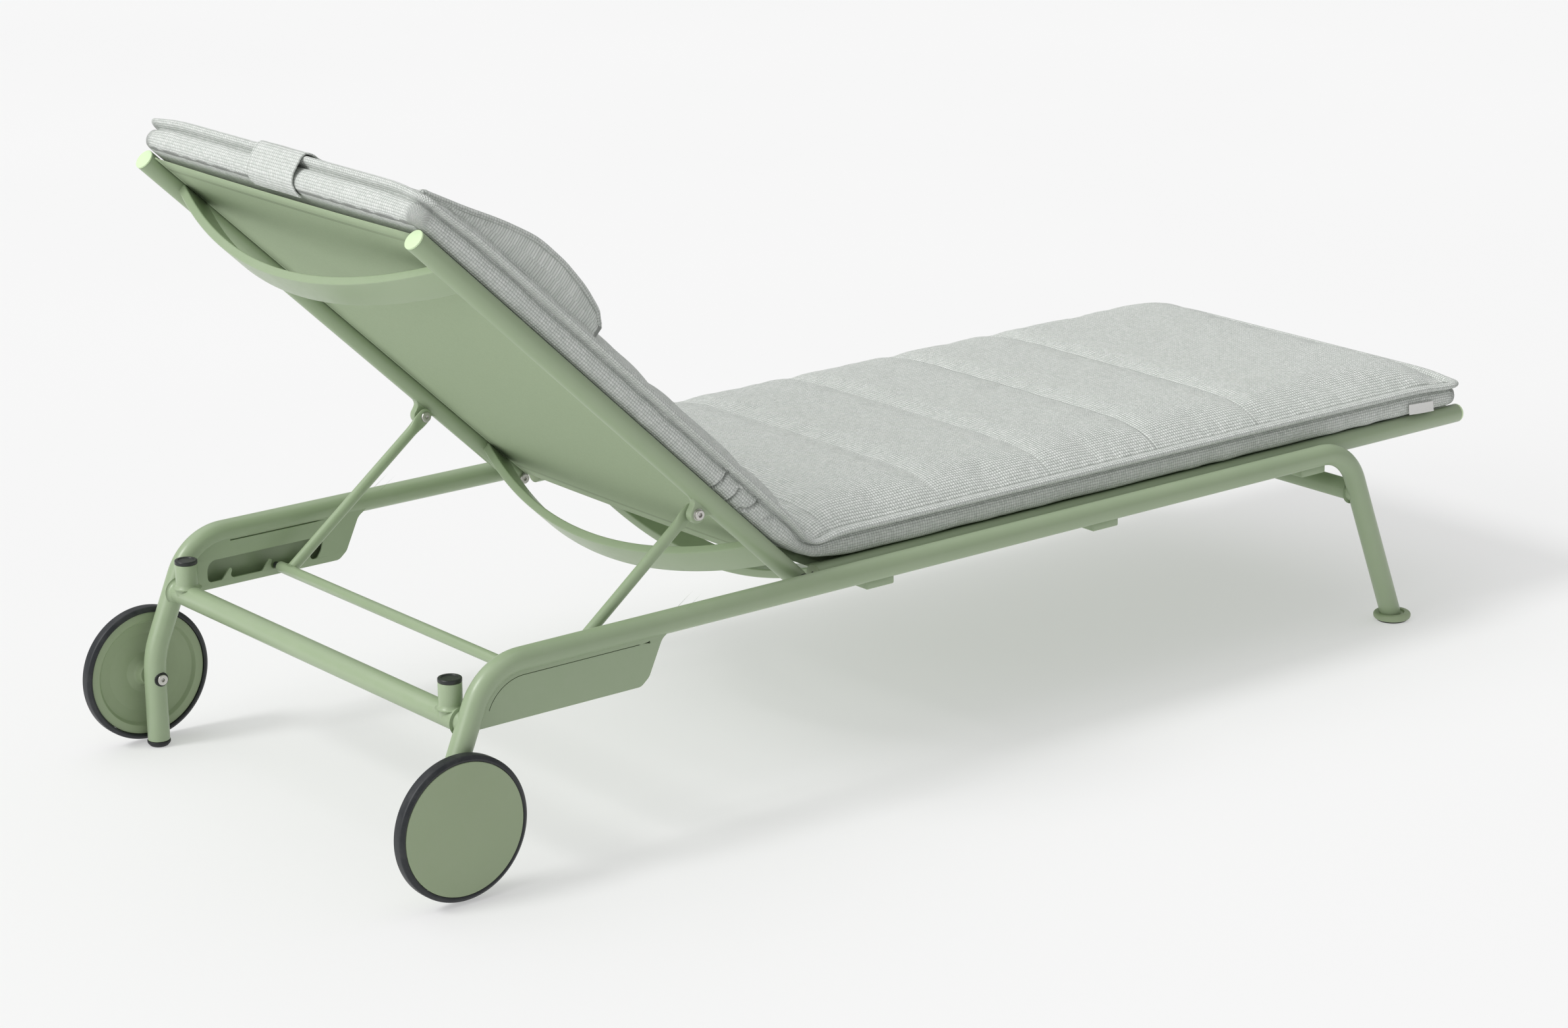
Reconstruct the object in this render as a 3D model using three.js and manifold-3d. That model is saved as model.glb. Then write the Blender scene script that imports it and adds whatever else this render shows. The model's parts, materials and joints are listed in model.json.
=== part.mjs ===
// Reclining sun lounger: a bent steel tube base on two wheels and two feet, a reclining back held by a
// strut that drops into a notched plate, textile slings, and a loose cushion with a head pillow.
// Millimetres, +Z up, +Y towards the head, X across. "r" pieces are at -X, "l" pieces at +X.
import * as THREE from 'three';
import { mergeVertices } from 'three/addons/utils/BufferGeometryUtils.js';
import Module from 'manifold-3d';

const wasm = await Module();
wasm.setup();

// ---- shared clearances -------------------------------------------------------------------------
const GAP = 0.3;               // between any two neighbouring pieces
const SIDES = 20;              // facets round a tube

// ---- base frame --------------------------------------------------------------------------------
const TUBE_R = 16;             // base tube radius
const BASE_X = 374.5;          // base tube axis to the mid plane
const RAIL_Z = 298;            // base rail axis above the floor
const HEAD_CORNER = 724.5;     // where the rail axis meets the rear leg axis
const KNEE_Y = 792;            // upright lower part of the rear leg
const KNEE_DROP = 162;         // rail axis to the knee
const KNEE_BEND = 140;
const FOOT_CORNER = -865.5;    // where the rail axis meets the front leg axis
const FOOT_Y = -981;           // front leg axis at the floor
const CORNER_BEND = 80;
const CAP_H = 9;               // rubber cap under the rear leg
const GLIDE_H = 2;
const FOOT_DISC_H = 11;
const FOOT_DISC_R = 29.5;
const REAR_CROSS_DROP = 70.5;  // rail axis to the rear cross tube
const FRONT_CROSS_DROP = 74;

// ---- seat and back frame -----------------------------------------------------------------------
const RAIL_R = 14.5;           // seat rail and back stile radius
const TAB_GAP = 0.8;           // base rail to a seat bow tab
// seat rail axis above the floor: the seat rail and the base rail stand on the same bow tabs
const SEAT_Z = RAIL_Z - TUBE_R - TAB_GAP + GAP + RAIL_R;
const RAIL_X = BASE_X - 39.5;  // their axis to the mid plane
const HINGE_Y = 179.5;
const SEAT_FOOT_Y = -1163;
const SEAT_HEAD_Y = HINGE_Y - 28;
const BACK_LEN = 829;
const BACK_REST = 43.2;        // back angle as posed, degrees
const BACK_MAX = 56.4;         // steepest back angle

// ---- slings and bows ---------------------------------------------------------------------------
const SLING_W = 8;             // sling mid surface above the tube axes
const SLING_T = 1.2;
const BOW_WIDE = 50;
const BOW_THICK = 12.5;
const BOW_DROP = 67;           // bow top below the tube axes at the middle
const BACK_BOW_T = [65.7, 738];
const SEAT_BOW_Y = [60, -367, -798];
const BOW_TAB = RAIL_R + GAP;  // tab top below the seat rail axis

// ---- lug, strut and notches --------------------------------------------------------------------
const LUG_T = 212.5;
const LUG_W = -25.5;
const LUG_R = 12.5;
const LUG_IN = RAIL_X - 6;     // inner face of the lug
const LUG_THICK = 12;
const ARM_R = 8;
const ARM_X = RAIL_X - 13.5;
const ROD_END = RAIL_X + 13;
const PIN_R = 5;
const PLATE_IN = BASE_X - 13.5;
const PLATE_T = 3;
const PIN_SHORT = 0.4;         // pin end to the notch plate
const COVER_OUT = BASE_X + 9.8;
const SLOT_FLOOR = RAIL_Z - 68.3;
const SLOT_TOP = RAIL_Z - 36.3;
const HOOK_TIP = 14.8;         // height of a hook above the slot floor
const NOTCH_PITCH = 66.8;
const NOTCH_FLAT = 694.5;      // pin position with the back flat
const NOTCH_1 = 659.1;         // first notch, then one each pitch footward
const PIN_LIFT = 5.1;          // pin centre above the slot floor
const PLATE_BOTTOM = RAIL_Z - 78;

// ---- wheels ------------------------------------------------------------------------------------
const WHEEL_R = 99;
const WHEEL_Y = 790.5;
const WHEEL_Z = WHEEL_R + 4;   // the rubber caps carry the load, the tyres just clear the floor
const TYRE_IN = 91;
const AXLE_R = 5;

// ---- cushions ----------------------------------------------------------------------------------
const PAD_X = RAIL_X + 10;
const PAD_LOW = RAIL_R + 0.5;
const PAD_SIDE = 62;
const PAD_CROWN = 91;
const PAD_FOOT = SEAT_FOOT_Y + 3;
const PAD_HEAD = BACK_LEN + 24;
const PILLOW_X = 300;

const rad = (deg) => deg * Math.PI / 180;
const group = new THREE.Group();

// ---- materials ---------------------------------------------------------------------------------
function mat(color, roughness, metalness) {
  return new THREE.MeshStandardMaterial({ color, roughness, metalness });
}
const sage = () => mat(0x85937a, 0.42, 0.35);
const paleCap = () => mat(0xb9cba6, 0.5, 0.05);
const sageCast = () => mat(0x7e8c6d, 0.5, 0.1);
const rubber = () => mat(0x1b1f24, 0.75, 0.0);
const plastic = () => mat(0x23282a, 0.45, 0.0);
const steel = () => mat(0xb9b7b2, 0.3, 0.9);
const textile = () => mat(0x879478, 0.8, 0.0);
const cushionCloth = () => mat(0xdde2dc, 0.95, 0.0);
const tagCloth = () => mat(0xf2f2ef, 0.9, 0.0);

// ---- solids ------------------------------------------------------------------------------------
function toSolid(geometry) {
  const bare = geometry.clone();
  bare.deleteAttribute('normal');
  bare.deleteAttribute('uv');
  const merged = mergeVertices(bare, 1e-3);
  return new wasm.Manifold(new wasm.Mesh({
    numProp: 3,
    vertProperties: new Float32Array(merged.attributes.position.array),
    triVerts: new Uint32Array(merged.index.array),
  }));
}

function fromSolid(solid) {
  const mesh = solid.getMesh();
  const geometry = new THREE.BufferGeometry();
  geometry.setAttribute('position', new THREE.BufferAttribute(new Float32Array(mesh.vertProperties), 3));
  geometry.setIndex(new THREE.BufferAttribute(new Uint32Array(mesh.triVerts), 1));
  geometry.computeVertexNormals();
  return geometry;
}

function cut(geometry, ...tools) {
  let solid = toSolid(geometry);
  for (const tool of tools) {
    solid = solid.subtract(toSolid(tool));
  }
  return fromSolid(solid);
}

function join(...pieces) {
  let solid = toSolid(pieces[0]);
  for (const piece of pieces.slice(1)) {
    solid = solid.add(toSolid(piece));
  }
  return fromSolid(solid);
}

// A path of straight runs and round bends through corner points, sampled only where it bends.
class BentPath extends THREE.Curve {
  constructor(corners, bends, steps = 7) {
    super();
    this.spots = [];
    this.ways = [];
    this.put(corners[0], corners[1].clone().sub(corners[0]).normalize());
    for (let i = 1; i < corners.length - 1; i += 1) {
      this.bend(corners[i - 1], corners[i], corners[i + 1], bends[i - 1], steps);
    }
    const last = corners.length - 1;
    this.put(corners[last], corners[last].clone().sub(corners[last - 1]).normalize());
  }

  put(spot, way) {
    this.spots.push(spot.clone());
    this.ways.push(way.clone());
  }

  bend(before, corner, after, radius, steps) {
    const way0 = corner.clone().sub(before).normalize();
    const way1 = after.clone().sub(corner).normalize();
    const turn = way0.angleTo(way1);
    const axis = way0.clone().cross(way1).normalize();
    const side = axis.clone().cross(way0);
    const start = corner.clone().addScaledVector(way0, -radius * Math.tan(turn / 2));
    for (let i = 0; i <= steps; i += 1) {
      const a = turn * i / steps;
      const spot = start.clone().addScaledVector(way0, radius * Math.sin(a));
      spot.addScaledVector(side, radius * (1 - Math.cos(a)));
      this.put(spot, way0.clone().applyAxisAngle(axis, a));
    }
  }

  get count() {
    return this.spots.length - 1;
  }

  getPoint(u) {
    return this.spots[Math.round(u * this.count)].clone();
  }

  getPointAt(u) {
    return this.getPoint(u);
  }

  getTangentAt(u) {
    return this.ways[Math.round(u * this.count)].clone();
  }
}

function circleShape(radius, sides = SIDES) {
  const shape = new THREE.Shape();
  for (let i = 0; i < sides; i += 1) {
    const a = 2 * Math.PI * (i + 0.5) / sides;
    const x = radius * Math.cos(a);
    const y = radius * Math.sin(a);
    if (i === 0) {
      shape.moveTo(x, y);
    } else {
      shape.lineTo(x, y);
    }
  }
  shape.closePath();
  return shape;
}

function bentTube(path, radius, sides = SIDES) {
  return new THREE.ExtrudeGeometry(circleShape(radius, sides), { steps: path.count, extrudePath: path });
}

// A round bar from one point to another.
function bar(from, to, radius, sides = SIDES) {
  const way = to.clone().sub(from);
  const geometry = new THREE.CylinderGeometry(radius, radius, way.length(), sides);
  const turn = new THREE.Quaternion().setFromUnitVectors(new THREE.Vector3(0, 1, 0), way.clone().normalize());
  geometry.applyQuaternion(turn);
  const mid = from.clone().add(to).multiplyScalar(0.5);
  geometry.translate(mid.x, mid.y, mid.z);
  return geometry;
}

const V = (x, y, z) => new THREE.Vector3(x, y, z);
const barX = (x0, x1, y, z, radius, sides = SIDES) => bar(V(x0, y, z), V(x1, y, z), radius, sides);

// Turns [radius, along] points round an axis and lays that axis along +X, +Y or +Z.
function turned(points, axis, sides = 24) {
  const profile = points.map(([r, a]) => new THREE.Vector2(r, a));
  const geometry = new THREE.LatheGeometry(profile, sides);
  if (axis === 'x') {
    geometry.rotateZ(-Math.PI / 2);
  }
  if (axis === 'z') {
    geometry.rotateX(Math.PI / 2);
  }
  return geometry;
}

// An outline, always drawn anticlockwise.
function polygon(points) {
  const outline = points.map(([a, b]) => new THREE.Vector2(a, b));
  if (THREE.ShapeUtils.isClockWise(outline)) {
    outline.reverse();
  }
  return new THREE.Shape(outline);
}

// A (y, z) outline as a plate between two x values.
function plateX(points, x0, x1, holes = []) {
  const shape = polygon(points);
  shape.holes = holes.map((hole) => new THREE.Path(hole.map(([a, b]) => new THREE.Vector2(a, b))));
  const geometry = new THREE.ExtrudeGeometry(shape, { depth: Math.abs(x1 - x0), bevelEnabled: false });
  geometry.rotateY(Math.PI / 2);
  geometry.rotateX(Math.PI / 2);
  geometry.translate(Math.min(x0, x1), 0, 0);
  return geometry;
}

// An (x, z) outline as a block between two y values.
function plateY(points, y0, y1) {
  const geometry = new THREE.ExtrudeGeometry(polygon(points), { depth: y1 - y0, bevelEnabled: false });
  geometry.rotateX(Math.PI / 2);
  geometry.translate(0, y1, 0);
  return geometry;
}

function add(name, geometry, material, parent = group) {
  const mesh = new THREE.Mesh(geometry, material);
  mesh.name = name;
  parent.add(mesh);
  return mesh;
}

function arc(cx, cy, radius, from, to, steps) {
  const points = [];
  for (let i = 0; i <= steps; i += 1) {
    const a = rad(from + (to - from) * i / steps);
    points.push([cx + radius * Math.cos(a), cy + radius * Math.sin(a)]);
  }
  return points;
}

// ---- base frame --------------------------------------------------------------------------------
const frontLean = (FOOT_CORNER - FOOT_Y) / RAIL_Z;
const frontLegY = (z) => FOOT_Y + frontLean * z;
const rearLean = (KNEE_Y - HEAD_CORNER) / KNEE_DROP;
const rearLegY = (z) => HEAD_CORNER + rearLean * (RAIL_Z - z);
const FRONT_LEG_END = 14;

function basePath(side, extra) {
  const x = side * BASE_X;
  const frontEnd = FRONT_LEG_END - extra;
  const corners = [
    V(x, KNEE_Y, CAP_H + GAP - extra),
    V(x, KNEE_Y, RAIL_Z - KNEE_DROP),
    V(x, HEAD_CORNER, RAIL_Z),
    V(x, FOOT_CORNER, RAIL_Z),
    V(x, frontLegY(frontEnd), frontEnd),
  ];
  return new BentPath(corners, [KNEE_BEND, CORNER_BEND, CORNER_BEND]);
}

const baseTube = (side, fat = 0) => bentTube(basePath(side, fat), TUBE_R + fat);
const FAT = { r: baseTube(-1, GAP), l: baseTube(1, GAP) };
const rearCrossZ = RAIL_Z - REAR_CROSS_DROP;
const frontCrossZ = RAIL_Z - FRONT_CROSS_DROP;
const crossTube = (z, y, fat = 0) => barX(-BASE_X, BASE_X, y, z, TUBE_R + fat);

function baseRail(side) {
  const bore = barX(side * (BASE_X - 30), side * (BASE_X + 30), WHEEL_Y, WHEEL_Z, AXLE_R + GAP, 12);
  const hinge = barX(side * (BASE_X - 30), side * (BASE_X - 6), HINGE_Y, SEAT_Z, AXLE_R + GAP, 12);
  return cut(baseTube(side), bore, hinge);
}

function legCap() {
  const r = TUBE_R + 1;
  const profile = [[0, 0], [r - 7, 0], [r - 2.5, 1.6], [r - 0.4, 4.6], [r, CAP_H - 1], [r - 0.6, CAP_H], [0, CAP_H]];
  return turned(profile, 'z', 24).translate(0, KNEE_Y, 0);
}

function frontFoot(side) {
  const z = GLIDE_H + GAP;
  const h = FOOT_DISC_H;
  const r = FOOT_DISC_R;
  const profile = [[0, z], [r - 5.5, z], [r - 2.2, z + 1.2], [r - 0.4, z + 3.2], [r, z + h / 2],
    [r - 0.4, z + h - 3.2], [r - 2.2, z + h - 1.2], [r - 5.5, z + h], [0, z + h]];
  const disc = turned(profile, 'z', 32);
  disc.translate(side * BASE_X, frontLegY(GLIDE_H), 0);
  return cut(disc, side < 0 ? FAT.r : FAT.l);
}

function frontGlide() {
  const r = FOOT_DISC_R - 5;
  const profile = [[0, 0], [r - 1, 0], [r, 0.8], [r, GLIDE_H], [0, GLIDE_H]];
  return turned(profile, 'z', 28).translate(0, frontLegY(GLIDE_H), 0);
}

function stub(side) {
  const x = side * RAIL_X;
  const y = rearLegY(rearCrossZ);
  const top = SEAT_Z - RAIL_R - GAP - 5.5 - GAP;
  return cut(bar(V(x, y, rearCrossZ), V(x, y, top), TUBE_R), crossTube(rearCrossZ, y, GAP));
}

function stubCap(side) {
  const top = SEAT_Z - RAIL_R - GAP;
  const low = top - 5.5;
  const profile = [[0, low], [TUBE_R, low], [TUBE_R, top - 1.4], [TUBE_R - 1.4, top], [0, top]];
  return turned(profile, 'z', SIDES).translate(side * RAIL_X, rearLegY(rearCrossZ), 0);
}

// ---- notch plate and its cover -----------------------------------------------------------------
const HOOK_Y = [0, 1, 2].map((i) => NOTCH_1 - NOTCH_PITCH * i + 6.7);

function slotOutline() {
  const low = SLOT_FLOOR;
  const top = SLOT_TOP;
  const end = NOTCH_FLAT + 10.5;
  const points = [[end - 17, top], [end - 9, top - 2.2], [end - 3.5, top - 7.8], [end, top - 15],
    [end, low + 8], [end - 2.4, low + 1.6], [end - 7, low]];
  for (const tip of HOOK_Y) {
    points.push([tip + 15.2, low], [tip + 3.2, low + HOOK_TIP - 2.2]);
    points.push([tip + 1, low + HOOK_TIP], [tip - 0.6, low + HOOK_TIP - 0.8]);
    points.push(...arc(tip - 4.8, low + 5.6, 5.5, 50, -80, 5));
  }
  const last = HOOK_Y[2];
  points.push([last - 8, low + 0.6], [last - 13.5, low + 4.5], [last - 16.2, low + 8.3]);
  points.push([last - 22.2, low + 26], [last - 23.4, low + 29.5], [last - 24.2, top]);
  return points;
}

// The plate outline runs up to the base tube's axis; the pan's hollow ("inset") runs on past it.
function plateOutline(inset = 0) {
  const low = PLATE_BOTTOM + inset;
  const nose = HOOK_Y[2] - 48.2 + inset;
  const skirt = HOOK_Y[2] - 80.2 + inset;
  const reach = inset > 0 ? 30 : 0;
  const axis = basePath(1, 0).spots.slice(9, 17).reverse().map((spot) => [spot.y + reach, spot.z + reach]);
  return [
    [nose, low],
    [nose - 7, low + 2.2],
    [nose - 14, low + 8],
    [nose - 18, low + 16],
    [skirt, RAIL_Z - 28],
    [skirt - 5, RAIL_Z - 20],
    [skirt - 14, RAIL_Z - 14],
    [skirt - 22, RAIL_Z + reach],
    ...axis,
    [rearLegY(low) + reach, low],
  ];
}

function notchPlate(side) {
  const plate = plateX(plateOutline(), side * PLATE_IN, side * (PLATE_IN + PLATE_T), [slotOutline()]);
  const cross = crossTube(rearCrossZ, rearLegY(rearCrossZ), GAP);
  return cut(plate, side < 0 ? FAT.r : FAT.l, cross);
}

function sideCover(side) {
  const inner = PLATE_IN + PLATE_T + GAP;
  const pan = plateX(plateOutline(), side * inner, side * COVER_OUT);
  const hollow = plateX(plateOutline(3), side * (inner - 5), side * (COVER_OUT - 3));
  const cross = crossTube(rearCrossZ, rearLegY(rearCrossZ), GAP);
  return cut(pan, hollow, side < 0 ? FAT.r : FAT.l, cross);
}

// ---- wheels ------------------------------------------------------------------------------------
const HUB_IN = TUBE_R + 0.8;

function wheelDisc(side) {
  const rim = TYRE_IN - GAP;
  const profile = [[0, 34], [AXLE_R + GAP, 34], [AXLE_R + GAP, HUB_IN], [15, HUB_IN], [17, HUB_IN + 5],
    [21, HUB_IN + 12], [30, HUB_IN + 15], [60, HUB_IN + 14], [74, HUB_IN + 11.5], [79, HUB_IN + 6.3],
    [rim - 0.8, HUB_IN + 6.3], [rim, HUB_IN + 7.2], [rim, 40], [rim - 0.8, 40.7], [0, 40.7]];
  const disc = turned(profile, 'x', 40);
  if (side < 0) {
    disc.rotateY(Math.PI);
  }
  return disc.translate(side * BASE_X, WHEEL_Y, WHEEL_Z);
}

function tyre(side) {
  const a = HUB_IN + 3;
  const b = 40.7;
  const profile = [[TYRE_IN, a + 2], [TYRE_IN + 2.4, a], [TYRE_IN + 5.4, a + 1.6], [WHEEL_R - 0.8, a + 5],
    [WHEEL_R, (a + b) / 2], [WHEEL_R - 0.8, b - 5], [TYRE_IN + 5.4, b - 1.6], [TYRE_IN + 2.4, b],
    [TYRE_IN, b - 0.6], [TYRE_IN, a + 2]];
  const ring = turned(profile, 'x', 48);
  if (side < 0) {
    ring.rotateY(Math.PI);
  }
  return ring.translate(side * BASE_X, WHEEL_Y, WHEEL_Z);
}

function axle(side) {
  const head = -TUBE_R - GAP;
  const profile = [[0, head - 4], [6.6, head - 4], [8, head - 2.6], [8, head], [AXLE_R, head], [AXLE_R, 33], [0, 33]];
  const pin = turned(profile, 'x', 16);
  if (side < 0) {
    pin.rotateY(Math.PI);
  }
  return pin.translate(side * BASE_X, WHEEL_Y, WHEEL_Z);
}

// ---- seat frame --------------------------------------------------------------------------------
function seatRail(side) {
  const x = side * RAIL_X;
  return bar(V(x, SEAT_FOOT_Y + 9, SEAT_Z), V(x, SEAT_HEAD_Y - 2.5, SEAT_Z), RAIL_R);
}

function seatRailPlug(side) {
  const profile = [[0, 0], [RAIL_R, 0], [RAIL_R, 1.8], [RAIL_R - 0.7, 2.5 - GAP], [0, 2.5 - GAP]];
  return turned(profile, 'y', SIDES).translate(side * RAIL_X, SEAT_HEAD_Y - 2.5 + GAP, SEAT_Z);
}

function seatRailCap(side) {
  const r = RAIL_R;
  const profile = [[0, -9], [r * 0.42, -8.4], [r * 0.75, -6.4], [r * 0.95, -3.4], [r, -GAP], [0, -GAP]];
  return turned(profile, 'y', SIDES).translate(side * RAIL_X, SEAT_FOOT_Y + 9, SEAT_Z);
}

const bowEndW = SLING_W - SLING_T / 2 - GAP;
const bowBend = (BOW_DROP + bowEndW) / (RAIL_X - RAIL_R) ** 2;

function seatBowTop(x) {
  const rise = -BOW_DROP + bowBend * x * x;
  const level = -BOW_TAB;
  const soft = 5;
  return (rise + level - Math.sqrt((rise - level) ** 2 + soft * soft)) / 2;
}

function seatBow(y) {
  const end = BASE_X - 3;
  const count = 36;
  const top = [];
  const low = [];
  for (let i = 0; i <= count; i += 1) {
    const x = -end + 2 * end * i / count;
    top.push([x, SEAT_Z + seatBowTop(x)]);
    low.unshift([x, SEAT_Z + seatBowTop(x) - BOW_THICK]);
  }
  const strip = plateY([...low, ...top], y - BOW_WIDE / 2, y + BOW_WIDE / 2);
  return cut(strip, FAT.r, FAT.l);
}

function seatSling() {
  const half = RAIL_X - Math.sqrt(RAIL_R ** 2 - (SLING_W - SLING_T) ** 2) - 1;
  const size = [2 * half, SEAT_HEAD_Y - 4 - (SEAT_FOOT_Y + 12), SLING_T];
  const slab = new THREE.BoxGeometry(...size);
  return slab.translate(0, (SEAT_HEAD_Y - 4 + SEAT_FOOT_Y + 12) / 2, SEAT_Z + SLING_W);
}

// ---- reclining back, drawn flat with the hinge axis at the origin --------------------------------
const back = new THREE.Group();
back.position.set(0, HINGE_Y, SEAT_Z);
back.rotation.x = rad(BACK_REST);
group.add(back);

function backStile(side) {
  const x = side * RAIL_X;
  const tube = bar(V(x, 0, 0), V(x, BACK_LEN - 3, 0), RAIL_R, SIDES);
  const nose = turned([[0, -RAIL_R], [RAIL_R * 0.5, -RAIL_R * 0.866], [RAIL_R * 0.866, -RAIL_R * 0.5],
    [RAIL_R, 0], [RAIL_R, 1], [0, 1]], 'y', SIDES).rotateY(0);
  nose.translate(x, 0, 0);
  const bore = barX(x - 30, x + 30, 0, 0, AXLE_R + GAP, 12);
  return cut(join(tube, nose), bore);
}

function fatStile(side) {
  const x = side * RAIL_X;
  return bar(V(x, -20, 0), V(x, BACK_LEN + 5, 0), RAIL_R + GAP, SIDES);
}

function stileCap(side) {
  const profile = [[0, 0], [RAIL_R, 0], [RAIL_R, 2], [RAIL_R - 0.7, 2.7], [0, 2.7]];
  return turned(profile, 'y', SIDES).translate(side * RAIL_X, BACK_LEN - 3 + GAP, 0);
}

function backBow(t) {
  const end = RAIL_X - 4;
  const count = 32;
  const top = [];
  const low = [];
  for (let i = 0; i <= count; i += 1) {
    const x = -end + 2 * end * i / count;
    const w = Math.min(-BOW_DROP + bowBend * x * x, bowEndW);
    top.push([x, w]);
    low.unshift([x, w - BOW_THICK]);
  }
  const strip = plateY([...low, ...top], t - BOW_WIDE / 2, t + BOW_WIDE / 2);
  return cut(strip, fatStile(-1), fatStile(1));
}

function backSling() {
  const half = RAIL_X - Math.sqrt(RAIL_R ** 2 - (SLING_W - SLING_T) ** 2) - 1;
  const low = 5;
  const high = BACK_LEN - 6;
  const slab = new THREE.BoxGeometry(2 * half, high - low, SLING_T);
  return slab.translate(0, (low + high) / 2, SLING_W);
}

function hingeBolt(side) {
  const head = RAIL_X - RAIL_R - GAP;
  const a = head - 4.5;
  const profile = [[0, a], [6.4, a], [8, a + 1.4], [8, head], [AXLE_R, head], [AXLE_R, BASE_X - 8], [0, BASE_X - 8]];
  const bolt = turned(profile, 'x', 16);
  if (side < 0) {
    bolt.rotateY(Math.PI);
  }
  return bolt.translate(0, HINGE_Y, SEAT_Z);
}

function hingeSpacer(side) {
  const a = RAIL_X + RAIL_R + GAP;
  const b = BASE_X - TUBE_R - GAP;
  const profile = [[AXLE_R + GAP, a], [11, a], [11, b], [AXLE_R + GAP, b], [AXLE_R + GAP, a]];
  const ring = turned(profile, 'x', 20);
  if (side < 0) {
    ring.rotateY(Math.PI);
  }
  return ring.translate(0, HINGE_Y, SEAT_Z);
}

function lug(side) {
  const w = LUG_W;
  const r = LUG_R;
  const points = [[LUG_T - 26, -4], [LUG_T - 26, -13], [LUG_T - 19, -15.5], [LUG_T - 14.5, -19.5],
    ...arc(LUG_T, w, r, 180, 360, 12), [LUG_T + 14.5, -19.5], [LUG_T + 19, -15.5],
    [LUG_T + 26, -13], [LUG_T + 26, -4]];
  const x0 = side * LUG_IN;
  const x1 = side * (LUG_IN + LUG_THICK);
  const bore = barX(side * (LUG_IN - 10), side * (LUG_IN + LUG_THICK + 10), LUG_T, w, 4 + GAP, 12);
  return cut(plateX(points, x0, x1), fatStile(side), bore);
}

// The bolt runs through the strut eye and the lug, with a washer between them.
function strutBolt(side) {
  const eyeIn = ARM_X - 4 - GAP;
  const out = LUG_IN + LUG_THICK + GAP;
  const eyeOut = ARM_X + 4 + GAP;
  const wash = LUG_IN - GAP;
  const profile = [[0, eyeIn - 2.6], [7.5, eyeIn - 2.6], [8.5, eyeIn - 1.2], [8.5, eyeIn], [4, eyeIn],
    [4, eyeOut], [8, eyeOut], [8, wash], [4, wash], [4, out], [7.5, out], [7.5, out + 5], [0, out + 5]];
  const bolt = turned(profile, 'x', 12);
  if (side < 0) {
    bolt.rotateY(Math.PI);
  }
  return bolt.translate(0, LUG_T, LUG_W);
}

// ---- strut, drawn pointing along +Y from the lug bolt ---------------------------------------------
const a0 = rad(BACK_REST);
const lugY = HINGE_Y + LUG_T * Math.cos(a0) - LUG_W * Math.sin(a0);
const lugZ = SEAT_Z + LUG_T * Math.sin(a0) + LUG_W * Math.cos(a0);
const rodY = NOTCH_1 - NOTCH_PITCH;
const rodZ = SLOT_FLOOR + PIN_LIFT;
const STRUT_LEN = Math.hypot(rodY - lugY, rodZ - lugZ);
const strut = new THREE.Group();
strut.position.set(0, lugY, lugZ);
strut.rotation.x = Math.atan2(rodZ - lugZ, rodY - lugY);
group.add(strut);

function strutArm(side) {
  const x = side * ARM_X;
  const arm = bar(V(x, 18, 0), V(x, STRUT_LEN, 0), ARM_R, 16);
  const neck = plateX([[12, -10], [12, 10], [22, 8.4], [26, 7.4], [26, -7.4], [22, -8.4]], x - 4.6, x + 4.6);
  const eye = plateX([...arc(0, 0, 11, 65, 295, 12), [16, -9.6], [16, 9.6]], x - 4, x + 4);
  const bore = barX(x - 20, x + 20, 0, 0, 4 + GAP, 12);
  const rod = barX(-ROD_END, ROD_END, STRUT_LEN, 0, ARM_R + GAP, 16);
  return cut(join(arm, neck, eye), bore, rod);
}

function strutRod() {
  return barX(-ROD_END, ROD_END, STRUT_LEN, 0, ARM_R, 16);
}

function strutPin(side) {
  const a = ROD_END + GAP;
  const b = PLATE_IN - PIN_SHORT;
  const profile = [[0, a], [PIN_R, a], [PIN_R, b - 0.8], [PIN_R - 0.8, b], [0, b]];
  const pin = turned(profile, 'x', 16);
  if (side < 0) {
    pin.rotateY(Math.PI);
  }
  return pin.translate(0, STRUT_LEN, 0);
}

// ---- cushions -----------------------------------------------------------------------------------
// Half of the steepest back angle, plus a little, keeps the two pads apart at the hinge.
const MITRE = Math.tan(rad(BACK_MAX / 2 + 0.6));

function padSection() {
  const half = PAD_X;
  const low = PAD_LOW;
  const belly = SLING_W + SLING_T / 2 + GAP;
  const right = [[RAIL_X - 25, belly], [RAIL_X - 12, low], [half - 2, low + 2], [half, low + 9],
    [half, PAD_SIDE - 12], [half - 5, PAD_SIDE], [half - 22, PAD_SIDE + 12], [half - 55, PAD_CROWN - 10],
    [half - 110, PAD_CROWN - 4], [half - 200, PAD_CROWN - 1], [half - 300, PAD_CROWN]];
  const left = right.map(([x, w]) => [-x, w]).reverse();
  return [...right, ...left];
}

// A pad from its mitred hinge end out to "reach", with a rounded far end. "way" is +1 or -1 along Y.
function pad(reach, way) {
  const ends = [[0, 16], [5, 8], [12, 3.5], [26, 0]];
  const body = toSolid(plateY(padSection(), -reach, reach));
  const far = [];
  for (const [inset, drop] of ends) {
    far.push([reach - drop, PAD_CROWN + 1 - inset]);
  }
  const side = [[0, 0], [PAD_LOW * MITRE, PAD_LOW], [(PAD_CROWN + 1) * MITRE, PAD_CROWN + 1],
    ...far, [reach, PAD_LOW + 7], [reach - 3, PAD_LOW + 1], [reach - 9, 0]];
  const block = plateX(side.map(([t, w]) => [t + 1.5, w]), -PAD_X - 5, PAD_X + 5);
  const solid = body.intersect(toSolid(block));
  const geometry = fromSolid(solid);
  if (way < 0) {
    geometry.rotateZ(Math.PI);
  }
  return geometry;
}

function seatCushion() {
  return pad(HINGE_Y - PAD_FOOT - 1.5, -1).translate(0, HINGE_Y, SEAT_Z);
}

const backCushion = () => pad(PAD_HEAD - 1.5, 1);

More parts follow.
